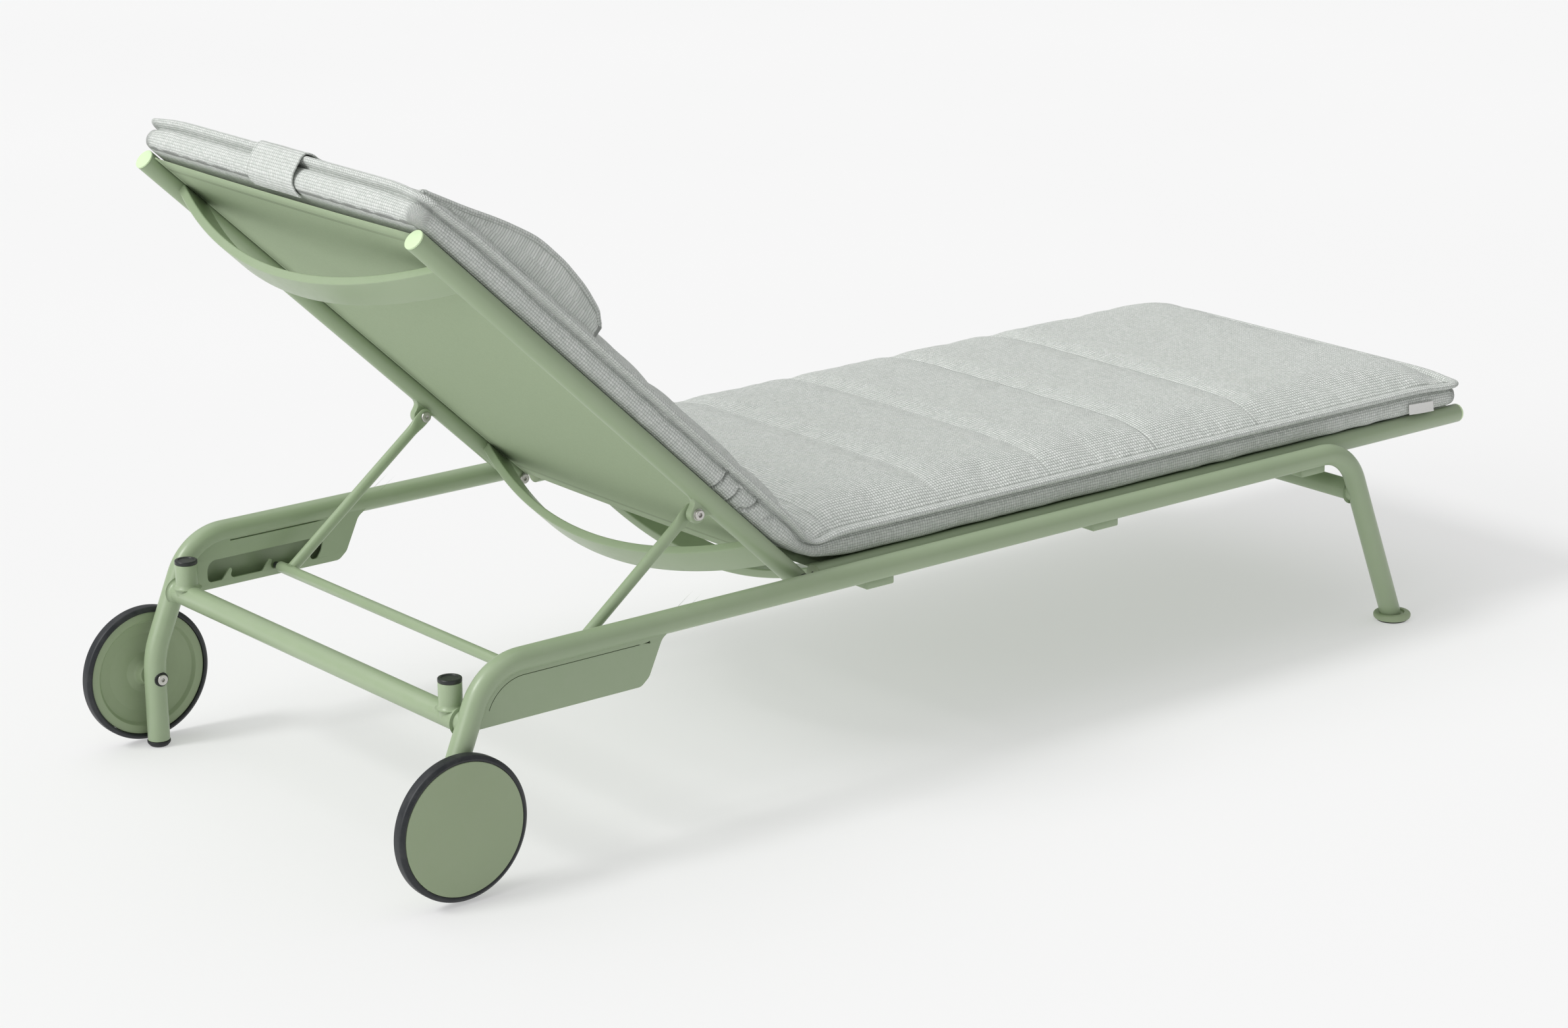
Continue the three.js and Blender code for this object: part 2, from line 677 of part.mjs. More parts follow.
function pillow() {
  const lift = GAP;
  const wide = [[487, 76], [484, 84], [490, 96], [507, 112], [545, 131], [592, 142], [640, 146], [690, 140],
    [735, 126], [775, 108], [812, 86], [832, 68], [834, 60], [822, 56], [600, 70]];
  const slab = plateX(wide, -PILLOW_X, PILLOW_X);
  const over = [[-PILLOW_X - 1, 50], [-PILLOW_X - 1, 80], [-PILLOW_X + 6, 96], [-PILLOW_X + 30, 118],
    [-PILLOW_X + 75, 136], [-PILLOW_X + 130, 147]];
  const outline = [...over, ...over.map(([x, w]) => [-x, w]).reverse()];
  const arch = plateY(outline, 400, 900);
  const padFat = plateY(padSection().map(([x, w]) => [x, w + (w > 30 ? lift : 0)]), -900, PAD_HEAD + 60);
  let solid = toSolid(slab).intersect(toSolid(arch));
  solid = solid.subtract(toSolid(padFat));
  return fromSolid(solid);
}

const STRAP_X = [-57, 57];

// The strap starts at the pillow, runs round the pad's head end and turns in under it.
function pillowStrap() {
  const t = PAD_HEAD;
  const c = PAD_CROWN;
  const inner = [[806, c + 0.4], [t - 15, c + 0.4], [t - 7.7, c - 3.5], [t - 3, c - 10.7], [t + 0.5, c - 24.9],
    [t + 0.5, 21.8], [t - 2.4, 15.8], [t - 5, 8.5], [t - 24, 8.5]];
  const outer = [[t - 24, 6.9], [t - 4, 6.9], [t - 0.9, 15], [t + 2.1, 21.4], [t + 2.1, c - 24.6],
    [t - 1.4, c - 10], [t - 6.4, c - 2.4], [t - 14.5, c + 2], [806, c + 2]];
  return plateX([...inner, ...outer], STRAP_X[0], STRAP_X[1]);
}

function careTag() {
  const x = -PAD_X - GAP;
  return new THREE.BoxGeometry(1, 56, 16).translate(x - 0.5, PAD_FOOT + 98.6, SEAT_Z + 28.3);
}

// ---- assembly -----------------------------------------------------------------------------------
add('rear_cross_tube', cut(crossTube(rearCrossZ, rearLegY(rearCrossZ)), FAT.r, FAT.l), sage());
add('front_cross_tube', cut(crossTube(frontCrossZ, frontLegY(frontCrossZ)), FAT.r, FAT.l), sage());
for (const [tail, side] of [['r', -1], ['l', 1]]) {
  const x = side * BASE_X;
  add(`base_rail_${tail}`, baseRail(side), sage());
  add(`leg_cap_${tail}`, legCap().translate(x, 0, 0), rubber());
  add(`front_foot_${tail}`, frontFoot(side), sageCast());
  add(`front_glide_${tail}`, frontGlide().translate(x, 0, 0), plastic());
  add(`stub_${tail}`, stub(side), sage());
  add(`stub_cap_${tail}`, stubCap(side), plastic());
  add(`notch_plate_${tail}`, notchPlate(side), sage());
  add(`side_cover_${tail}`, sideCover(side), sage());
  add(`wheel_disc_${tail}`, wheelDisc(side), sageCast());
  add(`tyre_${tail}`, tyre(side), rubber());
  add(`axle_${tail}`, axle(side), steel());
  add(`seat_rail_${tail}`, seatRail(side), sage());
  add(`seat_rail_plug_${tail}`, seatRailPlug(side), sageCast());
  add(`seat_rail_cap_${tail}`, seatRailCap(side), paleCap());
  add(`hinge_bolt_${tail}`, hingeBolt(side), steel());
  add(`hinge_spacer_${tail}`, hingeSpacer(side), plastic());
  add(`back_stile_${tail}`, backStile(side), sage(), back);
  add(`stile_cap_${tail}`, stileCap(side), paleCap(), back);
  add(`lug_${tail}`, lug(side), sage(), back);
  add(`strut_bolt_${tail}`, strutBolt(side), steel(), back);
  add(`strut_arm_${tail}`, strutArm(side), sage(), strut);
  add(`strut_pin_${tail}`, strutPin(side), plastic(), strut);
}
add('strut_rod', strutRod(), sage(), strut);
SEAT_BOW_Y.forEach((y, i) => add(`seat_bow_${i + 1}`, seatBow(y), sage()));
BACK_BOW_T.forEach((t, i) => add(`back_bow_${i + 1}`, backBow(t), sage(), back));
add('seat_sling', seatSling(), textile());
add('back_sling', backSling(), textile(), back);
add('seat_cushion', seatCushion(), cushionCloth());
add('back_cushion', backCushion(), cushionCloth(), back);
add('head_pillow', pillow(), cushionCloth(), back);
add('pillow_strap', pillowStrap(), cushionCloth(), back);
add('care_tag', careTag(), tagCloth());

// The origin is the middle of the footprint, on the floor.
group.updateMatrixWorld(true);
const bounds = new THREE.Box3().setFromObject(group, true);
for (const child of group.children) {
  child.position.y -= (bounds.min.y + bounds.max.y) / 2;
}
group.updateMatrixWorld(true);

export default group;
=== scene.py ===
import json
import math

import bmesh
import bpy
import numpy as np
from mathutils import Matrix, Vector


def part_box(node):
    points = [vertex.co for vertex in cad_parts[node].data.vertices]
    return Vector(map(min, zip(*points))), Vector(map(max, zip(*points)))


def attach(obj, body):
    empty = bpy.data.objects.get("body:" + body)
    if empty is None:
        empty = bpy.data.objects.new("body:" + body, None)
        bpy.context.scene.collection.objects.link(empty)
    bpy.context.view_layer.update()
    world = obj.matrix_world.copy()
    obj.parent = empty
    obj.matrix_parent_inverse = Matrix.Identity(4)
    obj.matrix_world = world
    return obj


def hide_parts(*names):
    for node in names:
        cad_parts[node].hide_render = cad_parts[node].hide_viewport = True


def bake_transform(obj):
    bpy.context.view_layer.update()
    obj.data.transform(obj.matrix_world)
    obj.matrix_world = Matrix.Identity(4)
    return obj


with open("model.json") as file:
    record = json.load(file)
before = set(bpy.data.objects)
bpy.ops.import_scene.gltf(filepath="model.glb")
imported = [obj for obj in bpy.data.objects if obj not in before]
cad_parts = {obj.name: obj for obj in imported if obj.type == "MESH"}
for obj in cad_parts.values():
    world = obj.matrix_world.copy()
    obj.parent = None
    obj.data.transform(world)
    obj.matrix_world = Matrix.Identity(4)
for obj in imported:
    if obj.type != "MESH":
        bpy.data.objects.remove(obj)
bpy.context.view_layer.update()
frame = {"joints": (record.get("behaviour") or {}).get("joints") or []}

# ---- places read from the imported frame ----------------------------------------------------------
JOINT = {j["name"]: j for j in frame["joints"]}
AX, AY, AZ = np.eye(3)
SHARP = 35                     # degrees: a steeper edge stays crisp
SIDES = (("r", -1.0), ("l", 1.0))


def middle(node):
    """The middle of a node's box."""
    lo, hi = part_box(node)
    return (np.array(lo) + np.array(hi)) / 2


def low(node):
    """The lower corner of a node's box."""
    return np.array(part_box(node)[0])


def high(node):
    """The upper corner of a node's box."""
    return np.array(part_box(node)[1])


TUBE_R = 0.016
RAIL_R = 0.0145
BASE_X = high("base_rail_l")[0] - TUBE_R
RAIL_Z = high("base_rail_l")[2] - TUBE_R
RAIL_X = middle("seat_rail_l")[0]
SEAT_Z = middle("seat_rail_l")[2]
HINGE = np.array(JOINT["back_recline"]["pos_m"], float)
PIVOT = np.array(JOINT["strut_swing"]["pos_m"], float)
BACK = -math.radians(JOINT["back_recline"]["range_deg"][0])
ROD = middle("strut_rod")
ALONG = np.array([0, math.cos(BACK), math.sin(BACK)])
OFF = np.array([0, -math.sin(BACK), math.cos(BACK)])
CROSS_Z = middle("rear_cross_tube")[2]
REAR_Y = middle("rear_cross_tube")[1]
FRONT_CROSS = middle("front_cross_tube")
KNEE_Y = middle("leg_cap_l")[1]
FOOT = middle("front_foot_l")
WHEEL = middle("tyre_l")
CAP_H = high("leg_cap_l")[2]


# ---- meshes -------------------------------------------------------------------------------------
def placed(name, data):
    """An object that holds a mesh, a light or a camera, linked into the scene."""
    obj = bpy.data.objects.new(name, data)
    bpy.context.scene.collection.objects.link(obj)
    return obj


def raw_mesh(name, verts, faces):
    """A mesh from arrays of points and faces."""
    mesh = bpy.data.meshes.new(name)
    mesh.from_pydata(verts.tolist(), [], faces.tolist())
    return mesh


def face_out(mesh, weld_within=0.0):
    """Merges points closer than a distance, where one is given, and turns all faces outwards."""
    bm = bmesh.new()
    bm.from_mesh(mesh)
    if weld_within:
        bmesh.ops.remove_doubles(bm, verts=bm.verts, dist=weld_within)
    bmesh.ops.recalc_face_normals(bm, faces=bm.faces)
    bm.to_mesh(mesh)
    bm.free()


def smooth_faces(mesh, sharp=0):
    """Smooth shading; edges over the sharp angle stay crisp, where one is given."""
    mesh.polygons.foreach_set("use_smooth", np.ones(len(mesh.polygons), bool))
    if sharp:
        mesh.set_sharp_from_angle(angle=math.radians(sharp))


def finish_mesh(name, mesh, sharp=SHARP):
    """Welds doubles, turns faces outwards, smooths, and keeps edges over the sharp angle."""
    face_out(mesh, 1e-6)
    smooth_faces(mesh, sharp)
    return placed(name, mesh)


def solid(name, verts, faces, sharp=SHARP):
    """A closed piece from points and faces."""
    mesh = bpy.data.meshes.new(name)
    mesh.from_pydata(np.asarray(verts).tolist(), [], faces)
    return finish_mesh(name, mesh, sharp)


def quads(rows, cols, wrap_cols=False, wrap_rows=False):
    """The faces of a grid of points numbered row by row."""
    r = np.arange(rows if wrap_rows else rows - 1)
    c = np.arange(cols if wrap_cols else cols - 1)
    r, c = np.meshgrid(r, c, indexing="ij")
    r1, c1 = (r + 1) % rows, (c + 1) % cols
    return np.stack([r * cols + c, r * cols + c1, r1 * cols + c1, r1 * cols + c], -1).reshape(-1, 4)


def circle(radius, sides):
    """Points round a circle."""
    a = 2 * np.pi * np.arange(sides) / sides
    return np.stack([radius * np.cos(a), radius * np.sin(a)], -1)


def rounded(points, radii, steps=5, closed=True):
    """A polyline whose corners are arcs: each arc touches both sides, radius over tan(half angle) away."""
    pts = np.asarray(points, float)
    radii = np.broadcast_to(radii, len(pts))
    out = []
    for i, p in enumerate(pts):
        if radii[i] <= 0 or (not closed and i in (0, len(pts) - 1)):
            out.append(p[None])
            continue
        a, b = pts[i - 1] - p, pts[(i + 1) % len(pts)] - p
        la, lb = np.linalg.norm(a), np.linalg.norm(b)
        a, b = a / la, b / lb
        half = math.acos(np.clip(a @ b, -1, 1)) / 2
        if half > math.radians(89.5):
            out.append(p[None])
            continue
        reach = min(radii[i] / math.tan(half), 0.49 * la, 0.49 * lb)
        r = reach * math.tan(half)
        mid = (a + b) / np.linalg.norm(a + b) * (r / math.sin(half))
        start, end = a * reach - mid, b * reach - mid
        sweep = math.pi - 2 * half
        k = np.linspace(0, 1, steps + 1)[:, None]
        s = (start * np.sin((1 - k) * sweep) + end * np.sin(k * sweep)) / math.sin(sweep)
        out.append(p + mid + s)
    return np.concatenate(out)


def bent_path(corners, radii, step=4.0):
    """Stations along straight runs and round bends in space: places and directions."""
    pts = np.asarray(corners, float)
    first = (pts[1] - pts[0]) / np.linalg.norm(pts[1] - pts[0])
    last = (pts[-1] - pts[-2]) / np.linalg.norm(pts[-1] - pts[-2])
    spots, ways = [pts[:1]], [first[None]]
    for i in range(1, len(pts) - 1):
        d0, d1 = pts[i] - pts[i - 1], pts[i + 1] - pts[i]
        d0, d1 = d0 / np.linalg.norm(d0), d1 / np.linalg.norm(d1)
        turn = math.acos(np.clip(d0 @ d1, -1, 1))
        side = (d1 - d0 * (d0 @ d1)) / math.sin(turn)
        a = np.linspace(0, turn, max(3, int(math.degrees(turn) / step)) + 1)[:, None]
        start = pts[i] - d0 * radii[i - 1] * math.tan(turn / 2)
        spots.append(start + radii[i - 1] * (d0 * np.sin(a) + side * (1 - np.cos(a))))
        ways.append(d0 * np.cos(a) + side * np.sin(a))
    spots.append(pts[-1:])
    ways.append(last[None])
    return np.concatenate(spots), np.concatenate(ways)


def sweep(name, spots, ways, side, profile, sharp=SHARP, grow=None):
    """Carries a closed profile along stations: place + a * side + b * (way x side), and closes both ends."""
    side = np.asarray(side, float)
    up = np.cross(ways, side)
    up /= np.linalg.norm(up, axis=1)[:, None]
    size = np.ones((len(spots), 2)) if grow is None else np.asarray(grow, float)
    size = np.repeat(size[:, None], 2, 1) if size.ndim == 1 else size
    ring = profile[None] * size[:, None]
    verts = spots[:, None] + ring[..., :1] * side + ring[..., 1:] * up[:, None]
    n, m = len(spots), len(profile)
    faces = quads(n, m, wrap_cols=True).tolist()
    faces += [list(range(m)), list(range((n - 1) * m, n * m))]
    return solid(name, verts.reshape(-1, 3), faces, sharp)


def tube(name, corners, radii, side, radius, sides=40, bevel=0.0007, domes=(0, 0)):
    """A round tube through corners; each end is bevelled, or domed where a dome length is given."""
    spots, ways = bent_path(corners, radii)
    head, tail = [], []
    for length, group in ((domes[0], head), (domes[1], tail)):
        if length:
            a = np.radians([0, 15, 30, 45, 60, 72, 82])
            group.extend([(length * (1 - math.sin(x)), math.cos(x)) for x in a])
        else:
            group.extend([(bevel, 1.0), (bevel * 0.3, 1 - 0.3 * bevel / radius), (0, 1 - bevel / radius)])
    s0 = [spots[0] + ways[0] * d for d, _ in reversed(head)]
    s1 = [spots[-1] - ways[-1] * d for d, _ in tail]
    all_spots = np.concatenate([np.array(s0), spots[1:-1].reshape(-1, 3), np.array(s1)])
    all_ways = np.concatenate([np.repeat(ways[:1], len(s0), 0), ways[1:-1].reshape(-1, 3),
                               np.repeat(ways[-1:], len(s1), 0)])
    grow = np.concatenate([[g for _, g in reversed(head)], np.ones(len(spots) - 2), [g for _, g in tail]])
    return sweep(name, all_spots, all_ways, side, circle(radius, sides), 40, grow)


def turned(name, centre, axis, profile, sides=64, sharp=SHARP):
    """A profile of (radius, along) turned round an axis through a centre."""
    profile = np.asarray(profile, float)
    axis = np.asarray(axis, float)
    u = AZ if abs(axis[2]) < 0.9 else AY
    u = u - axis * (u @ axis)
    u /= np.linalg.norm(u)
    v = np.cross(axis, u)
    a = 2 * np.pi * np.arange(sides) / sides
    ring = np.cos(a)[:, None] * u + np.sin(a)[:, None] * v
    verts = np.asarray(centre) + profile[:, None, 1:] * axis + profile[:, None, :1] * ring[None]
    faces = quads(len(profile), sides, wrap_cols=True)
    return solid(name, verts.reshape(-1, 3), faces.tolist(), sharp)


def plate(name, loops, x0, x1, bevel=0.0006):
    """Flat plate between two x values from (y, z) loops, the first its outline, with rounded rims."""
    curve = bpy.data.curves.new(name, "CURVE")
    curve.dimensions, curve.fill_mode = "2D", "BOTH"
    curve.extrude, curve.bevel_depth, curve.bevel_resolution = abs(x1 - x0) / 2 - bevel, bevel, 2
    curve.offset = -bevel
    for loop in loops:
        spline = curve.splines.new("POLY")
        spline.points.add(len(loop) - 1)
        flat = np.zeros((len(loop), 4))
        flat[:, :2], flat[:, 3] = loop, 1
        spline.points.foreach_set("co", flat.ravel())
        spline.use_cyclic_u = True
    holder = bpy.data.objects.new(name + "_curve", curve)
    mesh = bpy.data.meshes.new_from_object(holder)
    co = np.empty(len(mesh.vertices) * 3)
    mesh.vertices.foreach_get("co", co)
    co = co.reshape(-1, 3)
    mesh.vertices.foreach_set("co", np.stack([co[:, 2] + (x0 + x1) / 2, co[:, 0], co[:, 1]], -1).ravel())
    bpy.data.objects.remove(holder)
    bpy.data.curves.remove(curve)
    return finish_mesh(name, mesh, 30)


def joined(name, parts):
    """Several pieces made one object."""
    bm = bmesh.new()
    for part in parts:
        bm.from_mesh(part.data)
    mesh = bpy.data.meshes.new(name)
    bm.to_mesh(mesh)
    bm.free()
    for part in parts:
        old = part.data
        bpy.data.objects.remove(part)
        bpy.data.meshes.remove(old)
    smooth_faces(mesh, SHARP)
    return placed(name, mesh)


# ---- shader groups and materials ----------------------------------------------------------------
def wire(tree, kind, operation=None, **values):
    """Adds a node and sets or links its inputs; inputs are named, or i0, i1, ... by place."""
    node = tree.nodes.new(kind)
    if operation:
        node.operation = operation
    for key, value in values.items():
        by_place = key[0] == "i" and key[1:].isdigit()
        socket = node.inputs[int(key[1:]) if by_place else key.replace("_", " ")]
        if isinstance(value, bpy.types.NodeSocket):
            tree.links.new(value, socket)
        else:
            socket.default_value = value
    return node


def maths(tree, operation, *values):
    """A maths node on values or sockets; returns its output."""
    return wire(tree, "ShaderNodeMath", operation, **{f"i{i}": v for i, v in enumerate(values)}).outputs[0]


def group(name, inputs, outputs):
    """An empty shader group with named sockets; returns it with its input and output nodes."""
    tree = bpy.data.node_groups.new(name, "ShaderNodeTree")
    for label, kind in inputs:
        tree.interface.new_socket(label, in_out="INPUT", socket_type=kind)
    for label, kind in outputs:
        tree.interface.new_socket(label, in_out="OUTPUT", socket_type=kind)
    return tree, tree.nodes.new("NodeGroupInput"), tree.nodes.new("NodeGroupOutput")


FLOAT, VECTOR = "NodeSocketFloat", "NodeSocketVector"


def coat_group():
    """Powder coat: fine orange peel height, and slow and fine unevenness of tone."""
    tree, gi, go = group("powder_coat", [("Vector", VECTOR), ("Grain", FLOAT)],
                         [("Height", FLOAT), ("Tone", FLOAT), ("Dust", FLOAT)])
    fine = wire(tree, "ShaderNodeTexNoise", Vector=gi.outputs[0], Scale=gi.outputs[1], Detail=2.0,
                Roughness=0.55)
    pits = wire(tree, "ShaderNodeTexVoronoi", Vector=gi.outputs[0], Scale=1800.0)
    slow = wire(tree, "ShaderNodeTexNoise", Vector=gi.outputs[0], Scale=5.0, Detail=3.0, Roughness=0.6)
    film = wire(tree, "ShaderNodeTexNoise", Vector=gi.outputs[0], Scale=38.0, Detail=5.0, Roughness=0.7)
    height = maths(tree, "ADD", fine.outputs[0], maths(tree, "MULTIPLY", pits.outputs[0], 0.25))
    tree.links.new(height, go.inputs[0])
    tree.links.new(slow.outputs[0], go.inputs[1])
    ramp = wire(tree, "ShaderNodeMapRange", Value=film.outputs[0], From_Min=0.45, From_Max=0.75, To_Min=0.0,
                To_Max=1.0)
    tree.links.new(ramp.outputs[0], go.inputs[2])
    return tree


def weave_group():
    """Plain weave: in cells of one yarn pitch, over and under take turns; each yarn is a half round."""
    ins = [("Vector", VECTOR), ("Pitch", FLOAT), ("Wander", FLOAT)]
    tree, gi, go = group("plain_weave", ins, [("Height", FLOAT), ("Tone", FLOAT), ("Pit", FLOAT)])
    stray = wire(tree, "ShaderNodeTexNoise", Vector=gi.outputs[0], Scale=140.0, Detail=2.0)
    shift = wire(tree, "ShaderNodeVectorMath", "SUBTRACT", i0=stray.outputs[1], i1=(0.5, 0.5, 0.5))
    scaled = wire(tree, "ShaderNodeVectorMath", "SCALE", i0=shift.outputs[0])
    tree.links.new(gi.outputs[2], scaled.inputs["Scale"])
    moved = wire(tree, "ShaderNodeVectorMath", "ADD", i0=gi.outputs[0], i1=scaled.outputs[0])
    parts = wire(tree, "ShaderNodeSeparateXYZ", i0=moved.outputs[0])
    u = maths(tree, "DIVIDE", parts.outputs[0], gi.outputs[1])
    v = maths(tree, "DIVIDE", parts.outputs[1], gi.outputs[1])
    cu, cv = maths(tree, "FLOOR", u), maths(tree, "FLOOR", v)
    over = maths(tree, "PINGPONG", maths(tree, "ADD", cu, cv), 1.0)
    arcs = []
    for value, cell in ((u, cu), (v, cv)):
        centred = maths(tree, "SUBTRACT", maths(tree, "SUBTRACT", value, cell), 0.5)
        arcs.append(maths(tree, "COSINE", maths(tree, "MULTIPLY", centred, math.pi)))
    bumps = []
    for a, b in ((0, 1), (1, 0)):
        round_yarn = maths(tree, "POWER", maths(tree, "MAXIMUM", arcs[a], 0.0), 0.6)
        crown = maths(tree, "MULTIPLY_ADD", arcs[b], 0.65, 0.35)
        bumps.append(maths(tree, "MULTIPLY", round_yarn, crown))
    mix = wire(tree, "ShaderNodeMix", Factor=over)
    tree.links.new(bumps[0], mix.inputs[2])
    tree.links.new(bumps[1], mix.inputs[3])
    fuzz = wire(tree, "ShaderNodeTexNoise", Vector=gi.outputs[0], Scale=2600.0, Detail=2.0)
    height = maths(tree, "ADD", mix.outputs[0], maths(tree, "MULTIPLY", fuzz.outputs[0], 0.35))
    tree.links.new(height, go.inputs[0])
    yarns = wire(tree, "ShaderNodeCombineXYZ", X=cu, Y=cv, Z=over)
    speck = wire(tree, "ShaderNodeTexWhiteNoise", Vector=yarns.outputs[0])
    slub = wire(tree, "ShaderNodeTexNoise", Vector=gi.outputs[0], Scale=90.0, Detail=4.0, Roughness=0.7)
    tone = maths(tree, "ADD", maths(tree, "MULTIPLY", speck.outputs[0], 0.6),
                 maths(tree, "MULTIPLY", slub.outputs[0], 0.6))
    tree.links.new(tone, go.inputs[1])
    # Low places between the yarns, 1 at the bottom: the cloth materials darken them as painted shade.
    pit = wire(tree, "ShaderNodeMapRange", Value=mix.outputs[0], From_Min=0.05, From_Max=0.55, To_Min=1.0,
               To_Max=0.0)
    tree.links.new(pit.outputs[0], go.inputs[2])
    return tree


COAT = coat_group()
WEAVE = weave_group()


def new_material(name, roughness, **sockets):
    """A material with its shader; plain values are set on the shader itself."""
    mat = bpy.data.materials.new(name)
    mat.use_nodes = True
    tree = mat.node_tree
    shader = next(n for n in tree.nodes if n.type == "BSDF_PRINCIPLED")
    shader.inputs["Roughness"].default_value = roughness
    for key, value in sockets.items():
        shader.inputs[key.replace("_", " ")].default_value = value
    return mat, tree, shader


def use_group(tree, made, **values):
    """Places a node group in a material with its own values."""
    node = tree.nodes.new("ShaderNodeGroup")
    node.node_tree = made
    for key, value in values.items():
        socket = node.inputs[key]
        if isinstance(value, bpy.types.NodeSocket):
            tree.links.new(value, socket)
        else:
            socket.default_value = value
    return node


def blend_colours(tree, factor, first, second):
    """First colour where the factor is 0, second where it is 1."""
    mix = tree.nodes.new("ShaderNodeMix")
    mix.data_type = "RGBA"
    tree.links.new(factor, mix.inputs[0])
    for socket, value in ((mix.inputs[6], first), (mix.inputs[7], second)):
        if isinstance(value, bpy.types.NodeSocket):
            tree.links.new(value, socket)
        else:
            socket.default_value = (*value, 1)
    return mix.outputs[2]


def coated(name, dark, light, roughness, bump, grain=900.0, dust=(0.5, 0.5, 0.46), dusty=0.06, **sockets):
    """Painted or moulded surface: tone drift between two colours, orange peel, a breath of dust."""
    mat, tree, shader = new_material(name, roughness, **sockets)
    place = tree.nodes.new("ShaderNodeTexCoord").outputs["Object"]
    coat = use_group(tree, COAT, Vector=place, Grain=grain)
    tone = wire(tree, "ShaderNodeMapRange", Value=coat.outputs["Tone"], From_Min=0.3, From_Max=0.7)
    colour = blend_colours(tree, tone.outputs[0], dark, light)
    dusted = maths(tree, "MULTIPLY", coat.outputs["Dust"], dusty)
    tree.links.new(blend_colours(tree, dusted, colour, dust), shader.inputs["Base Color"])
    rough = wire(tree, "ShaderNodeMapRange", Value=coat.outputs["Dust"], To_Min=roughness - 0.03,
                 To_Max=roughness + 0.07)
    tree.links.new(rough.outputs[0], shader.inputs["Roughness"])
    peel = wire(tree, "ShaderNodeBump", Strength=1.0, Distance=bump, Height=coat.outputs["Height"])
    tree.links.new(peel.outputs[0], shader.inputs["Normal"])
    return mat


def woven(name, dark, light, pitch, depth, pit_shade_colour, roughness=0.9, wander=0.0006, sheen=0.0, pits=0.5):
    """Woven cloth on the piece's own UV map, which is in metres; the gaps between yarns are darkened as
    painted shade.
    """
    mat, tree, shader = new_material(name, roughness, Sheen_Weight=sheen, Sheen_Roughness=0.5,
                                     Specular_IOR_Level=0.25)
    uv = tree.nodes.new("ShaderNodeUVMap")
    uv.uv_map = "metres"
    cloth = use_group(tree, WEAVE, Vector=uv.outputs[0], Pitch=pitch, Wander=wander)
    tone = wire(tree, "ShaderNodeMapRange", Value=cloth.outputs["Tone"], From_Min=0.25, From_Max=0.95)
    colour = blend_colours(tree, tone.outputs[0], dark, light)
    # Darkens the gaps between yarns: painted shade.
    shade = maths(tree, "MULTIPLY", cloth.outputs["Pit"], pits)
    colour = blend_colours(tree, shade, colour, pit_shade_colour)
    # The sewn attribute darkens the colour further: painted shade in sewn grooves and creases.
    sewn = tree.nodes.new("ShaderNodeAttribute")
    sewn.attribute_name = "sewn"
    tree.links.new(blend_colours(tree, sewn.outputs["Fac"], colour, tuple(0.45 * c for c in pit_shade_colour)),
                   shader.inputs["Base Color"])
    bump = wire(tree, "ShaderNodeBump", Strength=1.0, Distance=depth, Height=cloth.outputs["Height"])
    tree.links.new(bump.outputs[0], shader.inputs["Normal"])
    return mat


PAINT = coated("sage_powder_coat", (0.315, 0.400, 0.252), (0.335, 0.420, 0.267), 0.34, 0.00005,
               Specular_IOR_Level=0.5)
# A lighter copy of the sage paint for the end caps: painted highlight, the light that the head-facing stile
# caps catch.
CAP_HIGHLIGHT = coated("pale_sage_plug", (0.64, 0.80, 0.50), (0.67, 0.83, 0.53), 0.5, 0.00004, 700.0)
CAST = coated("sage_moulding", (0.31, 0.385, 0.235), (0.325, 0.405, 0.25), 0.5, 0.00006, 650.0)
RUBBER = coated("black_rubber", (0.009, 0.011, 0.012), (0.014, 0.016, 0.017), 0.62, 0.00008, 1200.0,
                (0.2, 0.2, 0.19), 0.10)
TYRE = coated("tyre_rubber", (0.009, 0.011, 0.014), (0.013, 0.016, 0.020), 0.5, 0.00008, 1100.0,
              (0.2, 0.2, 0.19), 0.12)
PLASTIC = coated("black_nylon", (0.012, 0.015, 0.014), (0.018, 0.022, 0.020), 0.4, 0.00004, 900.0,
                 (0.2, 0.2, 0.19), 0.08)
ZINC = coated("zinc_plated_steel", (0.52, 0.51, 0.48), (0.60, 0.59, 0.56), 0.3, 0.00002, 500.0,
              (0.3, 0.3, 0.28), 0.2, Metallic=0.95)
# In each cloth, the colour after the bump depth and the last number darken the gaps between yarns: painted
# shade.
SLING = woven("sling_mesh", (0.355, 0.44, 0.285), (0.39, 0.48, 0.315), 0.0011, 0.00012, (0.25, 0.31, 0.2),
              0.75, 0.0001, 0.0, 0.25)
CANVAS = woven("pad_canvas", (0.80, 0.845, 0.795), (0.95, 0.98, 0.94), 0.0044, 0.0022, (0.36, 0.39, 0.36),
               0.92, 0.0012, 0.1, 0.62)
RIBBON = woven("tag_ribbon", (0.78, 0.78, 0.76), (0.88, 0.88, 0.86), 0.0005, 0.00005, (0.6, 0.6, 0.58), 0.7,
               0.0, 0.0, 0.2)


def settle(obj, material, body, slot, *nodes):
    """Gives a made piece its material and body, and hides the CAD nodes it stands for; the record slot is not
    used.
    """
    obj.data.materials.clear()
    obj.data.materials.append(material)
    if body:
        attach(obj, body)
    if nodes:
        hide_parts(*nodes)
    return obj


